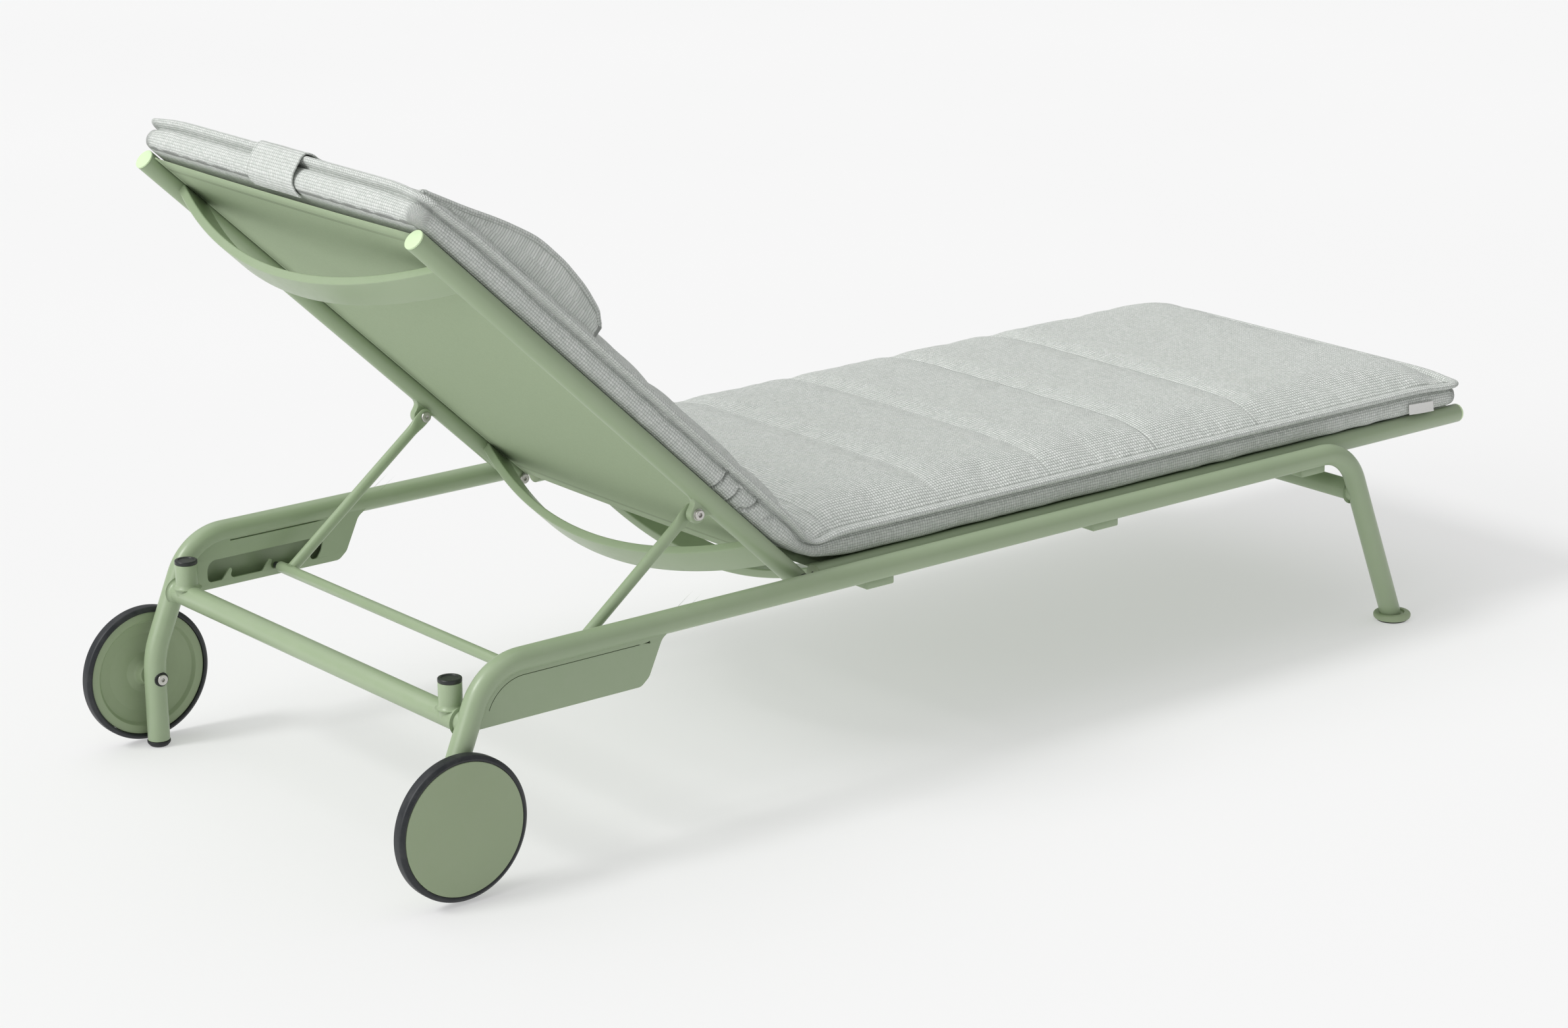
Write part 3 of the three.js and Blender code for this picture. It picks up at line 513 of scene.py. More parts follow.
# ---- base frame ---------------------------------------------------------------------------------
HEAD_CORNER = KNEE_Y - 0.0675
KNEE_Z = RAIL_Z - 0.162
FOOT_CORNER = FOOT[1] + 0.1147
LEAN_FOOT = (FOOT_CORNER - FOOT[1]) / (RAIL_Z - 0.002)
WELD_SINK = 0.0035             # a weld fillet starts this deep inside the tube it meets
WELD_R = TUBE_R - 0.0002
WELD_SPREAD = 0.005
ROD_R = 0.008                  # strut rod and arms
ARM_IN = 0.0135                # strut arm axis inside the stile axis
LUG_OUT = 0.006                # outer face of the lug outside the stile axis
LUG_EAR_R = 0.0125
BOLT_GAP = 0.0003
PIPING_R = 0.0043


def bar_x(name, x0, x1, y, z, radius, sides=40, bevel=0.0007, domes=(0, 0)):
    """A straight round bar across the lounger."""
    return tube(name, [(x0, y, z), (x1, y, z)], [], AZ, radius, sides, bevel, domes)


def weld(name, centre, axis, side, radius, spread, height):
    """A smooth weld fillet: a ring round a tube that eases from the tube to what it meets."""
    k = np.linspace(0, 1, 7)
    r = radius + spread * (1 - np.sin(k * np.pi / 2))
    a = height * (1 - np.cos(k * np.pi / 2))
    profile = np.concatenate([np.stack([r, a * side], -1),
                              [[radius - 0.002, height * side], [radius - 0.002, 0]]])
    return turned(name, centre, axis, np.concatenate([profile, profile[:1]]), 40, 60)


for tail, s in SIDES:
    x = s * BASE_X
    leg = [(x, KNEE_Y, CAP_H), (x, KNEE_Y, KNEE_Z), (x, HEAD_CORNER, RAIL_Z), (x, FOOT_CORNER, RAIL_Z),
           (x, FOOT[1] + LEAN_FOOT * 0.006, 0.008)]
    rail = tube(f"base_rail_paint_{tail}", leg, [0.14, 0.08, 0.08], AX, TUBE_R, 48)
    settle(rail, PAINT, "base", "frame_paint", f"base_rail_{tail}")
    r = TUBE_R + 0.0008
    cap = rounded([(0, 0), (r - 0.004, 0), (r, 0.005), (r, CAP_H - 0.0004), (0, CAP_H - 0.0004)],
                  [0, 0.004, 0.003, 0.0006, 0], 5, False)
    settle(turned(f"leg_cap_rubber_{tail}", (x, KNEE_Y, 0), AZ, cap), RUBBER, "base", "black_rubber",
           f"leg_cap_{tail}")
    lo, hi = low(f"front_foot_{tail}"), high(f"front_foot_{tail}")
    r, h = (hi[0] - lo[0]) / 2, hi[2] - lo[2]
    disc = rounded([(0, 0), (r - 0.001, 0), (r, h), (TUBE_R + 0.0035, h), (TUBE_R + 0.0022, h - 0.003),
                    (0, h - 0.0035)],
                   [0, 0.005, 0.0052, 0.0008, 0.0006, 0], 7, False)
    settle(turned(f"front_foot_disc_{tail}", (x, FOOT[1], lo[2]), AZ, disc, 72), CAST, "base",
           "sage_plastic", f"front_foot_{tail}")
    glide = rounded([(0, 0), (r - 0.006, 0), (r - 0.005, 0.0023), (0, 0.0023)], [0, 0.001, 0.0004, 0], 4,
                    False)
    settle(turned(f"front_glide_pad_{tail}", (x, FOOT[1], 0), AZ, glide), PLASTIC, "base", "black_plastic",
           f"front_glide_{tail}")
    top = low(f"stub_cap_{tail}")[2]
    post = tube(f"stub_post_{tail}", [(s * RAIL_X, REAR_Y, CROSS_Z), (s * RAIL_X, REAR_Y, top - 0.0004)],
                [], AX, TUBE_R, 48)
    fillet = weld(f"stub_fillet_{tail}", (s * RAIL_X, REAR_Y, CROSS_Z + TUBE_R - WELD_SINK), AZ, 1, WELD_R,
                  WELD_SPREAD, 0.008)
    settle(joined(f"stub_paint_{tail}", [post, fillet]), PAINT, "base", "frame_paint", f"stub_{tail}")
    h = high(f"stub_cap_{tail}")[2] - top
    lid = rounded([(0, 0), (TUBE_R + 0.0002, 0), (TUBE_R + 0.0002, h), (0.0118, h), (0.0112, h - 0.0012),
                   (0, h - 0.0012)],
                  [0, 0.0003, 0.0016, 0.0004, 0.0004, 0], 5, False)
    settle(turned(f"stub_lid_{tail}", (s * RAIL_X, REAR_Y, top), AZ, lid), PLASTIC, "base", "black_plastic",
           f"stub_cap_{tail}")

for end, y, z in (("rear", REAR_Y, CROSS_Z), ("front", FRONT_CROSS[1], FRONT_CROSS[2])):
    cross = bar_x(f"{end}_cross_bar", -BASE_X, BASE_X, y, z, TUBE_R, 48)
    fillets = [weld(f"{end}_cross_fillet_{t}", (s * (BASE_X - TUBE_R + WELD_SINK), y, z), AX, -s, WELD_R,
                    WELD_SPREAD, 0.007)
               for t, s in SIDES]
    settle(joined(f"{end}_cross_paint", [cross, *fillets]), PAINT, "base", "frame_paint",
           f"{end}_cross_tube")


# ---- notch plates and side covers ---------------------------------------------------------------
PITCH = 0.0668
FLOOR_Z = ROD[2] - 0.0051
HOOKS = ROD[1] + 0.0067 + PITCH * np.array([1, 0, -1])
PLATE_LOW = RAIL_Z - 0.078
LEAN = np.array([0, HEAD_CORNER - KNEE_Y, RAIL_Z - KNEE_Z])
KNEE_T = (PLATE_LOW - KNEE_Z) / LEAN[2]


def slot_loop():
    """The reclining slot: a rounded track with three hooks that lean headward."""
    end, top = ROD[1] + PITCH + 0.0459, FLOOR_Z + 0.032
    pts, radii = [(end, top), (end, FLOOR_Z)], [0.015, 0.007]
    for tip in HOOKS:
        pts += [(tip + 0.0155, FLOOR_Z), (tip + 0.0026, FLOOR_Z + 0.0158), (tip - 0.0012, FLOOR_Z + 0.0145)]
        radii += [0.006, 0.0022, 0.002]
        a = np.radians(np.linspace(45, -85, 10))
        bay = np.stack([tip - 0.0048 + 0.0055 * np.cos(a), FLOOR_Z + 0.0056 + 0.0055 * np.sin(a)], -1)
        pts += bay.tolist()
        radii += [0] * 10
    last = HOOKS[2]
    pts += [(last - 0.011, FLOOR_Z + 0.0002), (last - 0.0185, FLOOR_Z + 0.0115), (last - 0.0242, top)]
    return rounded(pts, radii + [0.008, 0.02, 0.006], 7)


def plate_loop(grow=0.0):
    """The plate's edge: nose, skirt up to the rail, and headward it hides inside the bent tube."""
    nose, skirt = HOOKS[2] - 0.0482, HOOKS[2] - 0.0802
    spots, _ = bent_path([(0, KNEE_Y + LEAN[1] * KNEE_T, PLATE_LOW), (0, HEAD_CORNER, RAIL_Z),
                          (0, skirt - 0.03, RAIL_Z)], [0.08])
    front = [(skirt - 0.026, RAIL_Z - 0.004), (skirt - 0.004, RAIL_Z - 0.0185),
             (nose - 0.0135, PLATE_LOW + 0.011), (nose, PLATE_LOW)]
    edge = np.concatenate([spots[:, 1:],
                           rounded([(skirt - 0.03, RAIL_Z), *front, (nose + 0.05, PLATE_LOW)],
                                   [0, 0.002, 0.02, 0.018, 0.014, 0], 8, False)[1:-1]])
    return edge[::-1]


def inset(loop, depth):
    """A closed loop moved inward by a depth."""
    way = np.roll(loop, -1, 0) - np.roll(loop, 1, 0)
    way /= np.maximum(np.linalg.norm(way, axis=1)[:, None], 1e-9)
    normal = np.stack([way[:, 1], -way[:, 0]], -1)
    middle_out = np.sign(np.sum(normal * (loop - loop.mean(0))))
    return loop - normal * depth * middle_out


def under_tube(gap, y_from, y_to, wide, dot=0.0):
    """A thin closed loop that runs under the bent rail at a gap from its axis."""
    spots, ways = bent_path([(0, KNEE_Y + LEAN[1] * KNEE_T, PLATE_LOW), (0, HEAD_CORNER, RAIL_Z),
                             (0, y_to - 0.1, RAIL_Z)], [0.08], 3)
    inward = np.stack([ways[:, 0], ways[:, 2], -ways[:, 1]], -1)
    line = (spots - inward * gap)[:, 1:]
    if line[-1, 1] > RAIL_Z:
        line = (spots + inward * gap)[:, 1:]
    line = line[:-1][line[:-1, 0] < y_from]
    start = line[-1, 0] - 0.001 if len(line) else y_from
    straight = np.linspace(start, y_to, 12)
    line = np.concatenate([line, np.stack([straight, np.full(12, RAIL_Z - gap)], -1)])
    way = np.gradient(line, axis=0)
    way /= np.linalg.norm(way, axis=1)[:, None]
    normal = np.stack([-way[:, 1], way[:, 0]], -1) * wide / 2
    a = np.radians(np.linspace(-35, -325, 10))
    tip = line[-1] + dot * np.stack([np.cos(a), np.sin(a)], -1)
    return np.concatenate([line[:-1] - normal[:-1], tip if dot else line[-1:], (line + normal)[:-1][::-1]])


for tail, s in SIDES:
    lo, hi = low(f"notch_plate_{tail}"), high(f"notch_plate_{tail}")
    seam = under_tube(0.0116, ROD[1] + 0.0726, ROD[1] - 0.0837, 0.0016)
    thin = plate(f"notch_plate_paint_{tail}", [plate_loop(), slot_loop(), seam], lo[0], hi[0], 0.0005)
    settle(thin, PAINT, "base", "frame_paint", f"notch_plate_{tail}")
    lo, hi = low(f"side_cover_{tail}"), high(f"side_cover_{tail}")
    near_x, far_x = (lo[0], hi[0]) if s > 0 else (hi[0], lo[0])
    skin_x = far_x - s * 0.003
    slit = under_tube(0.0187, KNEE_Y - 0.0605, ROD[1] - 0.1232, 0.0022, 0.0016)
    skin = plate(f"cover_skin_{tail}", [plate_loop(), slit], skin_x, far_x, 0.0006)
    rim = plate(f"cover_rim_{tail}", [plate_loop(), inset(plate_loop(), 0.003)], near_x,
                skin_x + s * 0.0012, 0.0004)
    settle(joined(f"side_cover_paint_{tail}", [skin, rim]), PAINT, "base", "frame_paint",
           f"side_cover_{tail}")


def hex_screw(name, centre, axis, rings, across, deep):
    """A turned head whose last rings close in on a six-sided socket of the given width and depth."""
    sides = 72
    a = 2 * np.pi * np.arange(sides) / sides
    hexed = (across / 2) / np.cos((a + math.pi / 6) % (math.pi / 3) - math.pi / 6)
    head = np.asarray(rings, float)
    radius = np.repeat(head[:, :1], sides, 1)
    top = head[-1, 1]
    socket = np.stack([hexed + 0.0003, hexed, hexed * 0.98, hexed * 0.02])
    along = np.concatenate([head[:, 1], [top, top - 0.0003, top - deep, top - deep - 0.0006]])
    radius = np.concatenate([radius, socket])
    axis = np.asarray(axis, float)
    v = np.cross(axis, AZ)
    ring = np.cos(a)[:, None] * AZ + np.sin(a)[:, None] * v
    verts = np.asarray(centre) + along[:, None, None] * axis + radius[..., None] * ring
    return solid(name, verts.reshape(-1, 3), quads(len(radius), sides, wrap_cols=True).tolist(), 28)


# ---- wheels: profiles run outward from the tube axis plane --------------------------------------
HUB_IN, DISC_OUT, TYRE_IN, WHEEL_R = TUBE_R + 0.0008, 0.0407, 0.091, WHEEL[2] - low("tyre_l")[2]
for tail, s in SIDES:
    hub = (s * BASE_X, WHEEL[1], WHEEL[2])
    rim = TYRE_IN - 0.0004
    pts = [(0.0053, 0.03), (0.0053, HUB_IN), (0.0155, HUB_IN), (0.0185, HUB_IN + 0.011),
           (0.030, HUB_IN + 0.0150),
           (0.058, HUB_IN + 0.0142), (0.0745, HUB_IN + 0.0115), (0.0785, HUB_IN + 0.0063),
                   (rim, HUB_IN + 0.0063),
           (rim, DISC_OUT), (0.0, DISC_OUT)]
    disc = rounded(pts, [0, 0.0006, 0.0016, 0.006, 0.006, 0.012, 0.002, 0.0015, 0.001, 0.0012, 0], 6, False)
    settle(turned(f"wheel_face_{tail}", hub, s * AX, disc, 96, 40), CAST, f"wheel_{tail}", "sage_plastic",
           f"wheel_disc_{tail}")
    a, b = HUB_IN + 0.003, DISC_OUT
    pts = [(TYRE_IN, a + 0.0012), (TYRE_IN + 0.0028, a), (WHEEL_R - 0.0002, a + 0.0035),
           (WHEEL_R, (a + b) / 2),
           (WHEEL_R - 0.0002, b - 0.0035), (TYRE_IN + 0.0028, b), (TYRE_IN, b - 0.0008)]
    ring = rounded(pts, [0.0006, 0.002, 0.0035, 0.02, 0.0035, 0.002, 0.0006], 6)
    settle(turned(f"tyre_ring_{tail}", hub, s * AX, np.concatenate([ring, ring[:1]]), 120, 50), TYRE,
           f"wheel_{tail}", "tyre_rubber", f"tyre_{tail}")
    bore = turned(f"axle_seat_{tail}", hub, -s * AX,
                  [(0.0001, 0.0152), (0.0082, 0.0152), (0.0082, 0.0166), (0.0098, 0.0166), (0.0104, 0.0161),
                   (0.0107, 0.0138), (0.0001, 0.0138)], 48)
    settle(bore, RUBBER, "base", "black_rubber")
    head = rounded([(0.0002, 0.0155), (0.0078, 0.0155), (0.0078, 0.0200), (0.0045, 0.0200)],
                   [0, 0, 0.0009, 0], 4, False)
    settle(hex_screw(f"axle_screw_{tail}", hub, -s * AX, head, 0.005, 0.003), ZINC, "base", "zinc_steel",
           f"axle_{tail}")


# ---- seat frame ---------------------------------------------------------------------------------
BOW_WIDE, BOW_THICK = 0.050, 0.0125
SLING_W = 0.008
END_W = SLING_W - 0.0006 - 0.0003
DROP = 0.067
CURVE = (DROP + END_W) / (RAIL_X - RAIL_R) ** 2
BOW_SECTION = rounded([(BOW_WIDE / 2, BOW_THICK / 2), (-BOW_WIDE / 2, BOW_THICK / 2),
                       (-BOW_WIDE / 2, -BOW_THICK / 2),
                       (BOW_WIDE / 2, -BOW_THICK / 2)], 0.0022, 4)


def bow(name, x, top, centre, wide_way, up_way):
    """A flat bar bent along a top curve: the section follows its mid line, broad side fore and aft."""
    slope = np.gradient(top, x)
    unit = np.sqrt(1 + slope ** 2)
    mid_x = x + slope / unit * BOW_THICK / 2
    mid_w = top - BOW_THICK / 2 / unit
    spots = np.asarray(centre) + mid_x[:, None] * AX + mid_w[:, None] * up_way
    ways = AX[None] / unit[:, None] + (slope / unit)[:, None] * up_way
    grow = np.ones((len(x), 2))
    grow[[0, -1]] = (0.955, 0.8)
    spots[[0, -1]] = spots[[1, -2]] - ways[[1, -2]] * np.array([[0.0008], [-0.0008]])
    return sweep(name, spots, ways, wide_way, BOW_SECTION, 32, grow)


for n in (1, 2, 3):
    end = high(f"seat_bow_{n}")[0] - 0.001
    x = end * np.sin(np.linspace(-math.pi / 2, math.pi / 2, 90))
    rise, level = -DROP + CURVE * x * x, -0.0148
    top = (rise + level - np.sqrt((rise - level) ** 2 + 0.005 ** 2)) / 2
    piece = bow(f"seat_bow_bar_{n}", x, top, (0, middle(f"seat_bow_{n}")[1], SEAT_Z), -AY, AZ)
    settle(piece, PAINT, "base", "frame_paint", f"seat_bow_{n}")

for tail, s in SIDES:
    x = s * RAIL_X
    lo, hi = low(f"seat_rail_{tail}")[1], high(f"seat_rail_{tail}")[1]
    rail = tube(f"seat_rail_paint_{tail}", [(x, lo, SEAT_Z), (x, hi, SEAT_Z)], [], AX, RAIL_R, 48)
    settle(rail, PAINT, "base", "frame_paint", f"seat_rail_{tail}")
    a = np.radians(np.linspace(0, 84, 9))
    dome = np.stack([RAIL_R * np.cos(a), 0.0085 * np.sin(a)], -1)
    dome = np.concatenate([[[0.001, -0.001], [RAIL_R, -0.001]], dome, [[0.0001, 0.00855]]])
    cap = turned(f"seat_rail_dome_{tail}", (x, lo - 0.0003, SEAT_Z), -AY, dome, 48, 40)
    # The foot-end dome takes the lighter copy of the sage paint: painted highlight.
    settle(cap, CAP_HIGHLIGHT, "base", "pale_cap", f"seat_rail_cap_{tail}")
    plug = rounded([(0.0045, 0), (RAIL_R, 0), (RAIL_R, 0.0022), (0.0045, 0.0022), (0.0045, 0)],
                   [0, 0.0003, 0.0008, 0.0005, 0], 4, False)
    settle(turned(f"seat_rail_end_{tail}", (x, hi + 0.0002, SEAT_Z), AY, plug, 48), CAST, "base",
           "sage_plastic", f"seat_rail_plug_{tail}")
    # A black disc just inside the plug's opening: painted shade for the dark inside of the hole.
    hole_shade = turned(f"seat_rail_hole_{tail}", (x, hi + 0.0002, SEAT_Z), AY,
                  [(0.0001, 0.0004), (0.0046, 0.0004), (0.0046, 0.0009), (0.0001, 0.0009)], 32)
    settle(hole_shade, RUBBER, "base", "black_rubber")
    hub = np.array([0, HINGE[1], SEAT_Z])
    head = rounded([(0.0002, 0), (0.0078, 0), (0.0078, 0.0046), (0.0045, 0.0046)], [0, 0, 0.0012, 0], 4,
                   False)
    bolt = hex_screw(f"hinge_head_{tail}", hub + AX * s * (RAIL_X - RAIL_R + 0.0004), -s * AX, head, 0.005,
                     0.003)
    shank = tube(f"hinge_shank_{tail}",
                 [hub + AX * s * (RAIL_X + RAIL_R - 0.002), hub + AX * s * (BASE_X - 0.008)], [], AZ, 0.005,
                         24)
    settle(joined(f"hinge_bolt_steel_{tail}", [bolt, shank]), ZINC, "base", "zinc_steel",
           f"hinge_bolt_{tail}")
    a, b = RAIL_X + RAIL_R + 0.0003, BASE_X - TUBE_R - 0.0003
    ring = rounded([(0.0055, a), (0.011, a), (0.011, b), (0.0055, b)], 0.0006, 3)
    settle(turned(f"hinge_spacer_ring_{tail}", hub, s * AX, np.concatenate([ring, ring[:1]]), 48), PLASTIC,
           "base", "black_plastic", f"hinge_spacer_{tail}")


def uv_map(obj, uv):
    """Writes one UV per point onto the piece's loops, in metres."""
    layer = obj.data.uv_layers.new(name="metres")
    loop = np.empty(len(obj.data.loops), int)
    obj.data.loops.foreach_get("vertex_index", loop)
    layer.data.foreach_set("uv", np.asarray(uv, np.float32)[loop].ravel())


def paint_seam_shade(obj, amount):
    """Marks painted shade along sewn lines and creases on a piece's points, 0 to 1, for its cloth material to
    darken.
    """
    layer = obj.data.attributes.get("sewn") or obj.data.attributes.new("sewn", "FLOAT", "POINT")
    layer.data.foreach_set("value", np.clip(amount, 0, 1).astype(np.float32))


def cloth_sheet(name, columns, rows, place, thick, relief, seams=None):
    """A thin sheet on a grid of (across, along): both faces lifted by the relief, rims closed by rounding."""
    u, v = np.meshgrid(columns, rows)
    up = relief(u, v)
    half = thick / 2
    rim = np.minimum(np.minimum(u - columns[0], columns[-1] - u), np.minimum(v - rows[0], rows[-1] - v))
    half = np.where(rim < 1e-9, half * 0.35, half)
    faces, verts = quads(*u.shape), np.concatenate([place(u, v, half + up).reshape(-1, 3),
                                                    place(u, v, -half - up * 0.3).reshape(-1, 3)])
    n = u.size
    index = np.arange(n).reshape(u.shape)
    edge = np.concatenate([index[0], index[1:, -1], index[-1, -2::-1], index[-2:0:-1, 0]])
    after = np.roll(edge, -1)
    sides = np.stack([edge, after, after + n, edge + n], -1)
    mesh = raw_mesh(name, verts, np.concatenate([faces, faces[:, ::-1] + n, sides[:, ::-1]]))
    smooth_faces(mesh)
    obj = placed(name, mesh)
    face_out(mesh)
    uv_map(obj, np.tile(np.stack([u.ravel(), v.ravel()], -1), (2, 1)))
    # Its seams are darkened in the cloth colour: painted shade in the sewn grooves.
    if seams is not None:
        paint_seam_shade(obj, np.tile(seams(u, v).ravel(), 2))
    return obj


def fine_near(start, stop, step, marks, reach=0.004, fine=0.0008):
    """Grid lines a step apart, with fine ones close round each mark."""
    lines = [np.linspace(start, stop, int(round((stop - start) / step)) + 1)]
    lines += [np.arange(m - reach, m + reach + fine / 2, fine) for m in marks]
    lines = np.sort(np.concatenate(lines))
    lines = lines[(lines >= start) & (lines <= stop)]
    keep = np.concatenate([[True], np.diff(lines) > fine * 0.4])
    keep[-1] = True
    return lines[keep]


def stitch(d, line, pitch=0.004):
    """A sewn line: a groove round d = 0 with a dimple once each stitch along it."""
    return np.exp(-(d / 0.0011) ** 2) * (0.7 + 0.3 * np.cos(2 * np.pi * line / pitch))


HALF_SLING = high("seat_sling")[0]


def sling_cut(low_end, high_end):
    """Relief and sewn lines of a sling: hemmed ends with twin seams, a rolled edge with one seam."""
    side = HALF_SLING - 0.009

    def seams(u, v):
        edge = np.minimum(v - low_end, high_end - v)
        return stitch(np.abs(u) - side, v) + 0.6 * stitch(edge - 0.027, u) + 0.6 * stitch(edge - 0.0235, u)

    def relief(u, v):
        edge = np.minimum(v - low_end, high_end - v)
        hem = 0.0004 / (1 + np.exp((edge - 0.030) / 0.0008))
        roll = 0.0007 / (1 + np.exp((HALF_SLING - np.abs(u) - 0.006) / 0.0006))
        return hem + roll - 0.0003 * seams(u, v)
    return relief, seams


x_marks = [-HALF_SLING + 0.006, HALF_SLING - 0.006]
a, b = low("seat_sling")[1], high("seat_sling")[1]
seat_sling = cloth_sheet("seat_sling_mesh", fine_near(-HALF_SLING, HALF_SLING, 0.04, x_marks),
                         fine_near(a, b, 0.05, [a + 0.026, b - 0.026], 0.006),
                         lambda u, v, w: np.stack([u, v,
                                                   SEAT_Z + SLING_W + w - 0.002 *
                                                           (1 - (u / HALF_SLING) ** 2)], -1), 0.0012,
                                                                   *sling_cut(a, b))
settle(seat_sling, SLING, "base", "sling_textile", "seat_sling")


# ---- reclining back -----------------------------------------------------------------------------
def on_back(x, t, w):
    """A point x across, t up the back from the hinge, w above the stile axes."""
    x, t, w = np.broadcast_arrays(x, t, w)
    return x[..., None] * AX + HINGE + t[..., None] * ALONG + w[..., None] * OFF


BACK_LEN = (high("back_stile_l")[1] - HINGE[1] - RAIL_R * math.sin(BACK)) / math.cos(BACK) + 0.003
BOW_T = [((middle(f"back_bow_{n}") - HINGE) @ ALONG) for n in (1, 2)]
for tail, s in SIDES:
    x = s * RAIL_X
    stile = tube(f"back_stile_paint_{tail}",
                 [on_back(x, -RAIL_R + 0.0002, 0), on_back(x, BACK_LEN - 0.003, 0)], [], AX, RAIL_R, 48,
                         0.0007, (RAIL_R, 0))
    settle(stile, PAINT, "back", "frame_paint", f"back_stile_{tail}")
    cap = rounded([(0.0001, 0), (RAIL_R + 0.0001, 0), (RAIL_R + 0.0001, 0.0026), (0.0001, 0.0026)],
                  [0, 0.0003, 0.0009, 0], 4, False)
    # The stile's top cap takes the lighter copy of the sage paint: painted highlight.
    settle(turned(f"stile_end_{tail}", on_back(x, BACK_LEN - 0.0028, 0), ALONG, cap, 48), CAP_HIGHLIGHT, "back",
           "pale_cap", f"stile_cap_{tail}")
    t0, w0 = (PIVOT - HINGE) @ ALONG, (PIVOT - HINGE) @ OFF
    a = np.radians(np.linspace(180, 360, 25))
    ear = np.stack([t0 + LUG_EAR_R * np.cos(a), w0 + LUG_EAR_R * np.sin(a)], -1)
    outline = np.concatenate([rounded([(t0 - 0.026, -0.004), (t0 - 0.026, -0.0125), (t0 - 0.0145, -0.0165),
                                       (t0 - LUG_EAR_R, w0)], [0, 0.002, 0.012, 0], 8, False)[:-1],
                              ear, rounded([(t0 + LUG_EAR_R, w0), (t0 + 0.0145, -0.0165),
                                            (t0 + 0.026, -0.0125), (t0 + 0.026, -0.004)],
                                                    [0, 0.012, 0.002, 0], 8, False)[1:]])
    loop = on_back(0.0, outline[:, 0], outline[:, 1])[:, 1:]
    lo, hi = low(f"lug_{tail}")[0], high(f"lug_{tail}")[0]
    settle(plate(f"lug_ear_{tail}", [loop], lo, hi, 0.0014), PAINT, "back", "frame_paint", f"lug_{tail}")
    inner, outer = s * (RAIL_X - ARM_IN - 0.0043), s * (RAIL_X + LUG_OUT + BOLT_GAP)
    at = on_back(0.0, t0, w0)
    head = rounded([(0.0002, 0), (0.0084, 0), (0.0084, 0.0006), (0.0074, 0.0006), (0.0074, 0.0048),
                    (0.0045, 0.0048)], [0, 0, 0.0003, 0.0003, 0.0014, 0], 4, False)
    out = hex_screw(f"strut_head_{tail}", at + AX * outer, s * AX, head, 0.0058, 0.0032)
    back_head = hex_screw(f"strut_nut_{tail}", at + AX * inner, -s * AX,
                          rounded([(0.0002, 0), (0.0084, 0), (0.0074, 0.0026), (0.0045, 0.0026)],
                                  [0, 0.0006, 0.001, 0], 4, False), 0.005, 0.002)
    washer = tube(f"strut_wash_{tail}",
                  [at + AX * s * (RAIL_X - ARM_IN + 0.0043), at + AX * s * (RAIL_X - 0.0063)], [], AZ,
                          0.0078, 32, 0.0004)
    settle(joined(f"strut_bolt_steel_{tail}", [out, back_head, washer]), ZINC, "back", "zinc_steel",
           f"strut_bolt_{tail}")

for n, t in zip((1, 2), BOW_T):
    end = RAIL_X - 0.004
    x = end * np.sin(np.linspace(-math.pi / 2, math.pi / 2, 90))
    top = np.minimum(-DROP + CURVE * x * x, END_W)
    at = HINGE + t * ALONG
    settle(bow(f"back_bow_paint_{n}", x, top, at, -ALONG, OFF), PAINT, "back", "frame_paint",
           f"back_bow_{n}")

a, b = 0.005, BACK_LEN - 0.006
back_sling = cloth_sheet("back_sling_mesh", fine_near(-HALF_SLING, HALF_SLING, 0.04, x_marks),
                         fine_near(a, b, 0.05, [a + 0.026, b - 0.026], 0.006),
                         lambda u, v, w: on_back(u, v, SLING_W + w - 0.002 * (1 - (u / HALF_SLING) ** 2)),
                                 0.0012, *sling_cut(a, b))
settle(back_sling, SLING, "back", "sling_textile", "back_sling")

# ---- strut --------------------------------------------------------------------------------------
REACH = ROD - PIVOT
REACH[0] = 0
STRUT_LEN = np.linalg.norm(REACH)
DOWN = REACH / STRUT_LEN
for tail, s in SIDES:
    x = s * (RAIL_X - ARM_IN)
    d = np.concatenate([[-0.0115, -0.0112, -0.0102, -0.0085, -0.0055, -0.002, 0.002, 0.008, 0.013, 0.017,
                         0.021, 0.026, 0.032], np.linspace(0.05, STRUT_LEN - 0.004, 8)])
    flat = np.interp(d, [0.008, 0.032], [0, 1]) ** 2 * (3 - 2 * np.interp(d, [0.008, 0.032], [0, 1]))
    round_off = np.sqrt(np.clip(1 - (np.minimum(d, 0) / 0.0118) ** 2, 0.02, 1))
    wide = (0.0114 - 0.0034 * flat) * round_off / 0.008
    thin = (0.0042 + 0.0038 * flat) / 0.008 * np.where(d < -0.011, 0.85, 1)
    spots = PIVOT + x * AX + d[:, None] * DOWN
    arm = sweep(f"strut_arm_paint_{tail}", spots, np.repeat(DOWN[None], len(d), 0), AX, circle(ROD_R, 40),
                40, np.stack([thin, wide], -1))
    collar = weld(f"strut_collar_{tail}", spots[-1] + DOWN * (0.004 - 0.0045), -DOWN, 1, 0.0079, 0.003,
                  0.004)
    settle(joined(f"strut_arm_bar_{tail}", [arm, collar]), PAINT, "strut", "frame_paint",
           f"strut_arm_{tail}")
    a, b = low(f"strut_pin_{tail}")[0], high(f"strut_pin_{tail}")[0]
    a, b = (a, b) if s > 0 else (b, a)
    pts = rounded([(0.0001, 0), (0.0050, 0), (0.0050, abs(b - a)), (0.0001, abs(b - a))],
                  [0, 0.0002, 0.0012, 0], 5, False)
    settle(turned(f"strut_sleeve_{tail}", (a, ROD[1], ROD[2]), s * AX, pts, 36), PLASTIC, "strut",
           "black_plastic", f"strut_pin_{tail}")
end = high("strut_rod")[0]
settle(bar_x("strut_rod_bar", -end, end, ROD[1], ROD[2], ROD_R, 40, 0.0008), PAINT, "strut", "frame_paint",
       "strut_rod")


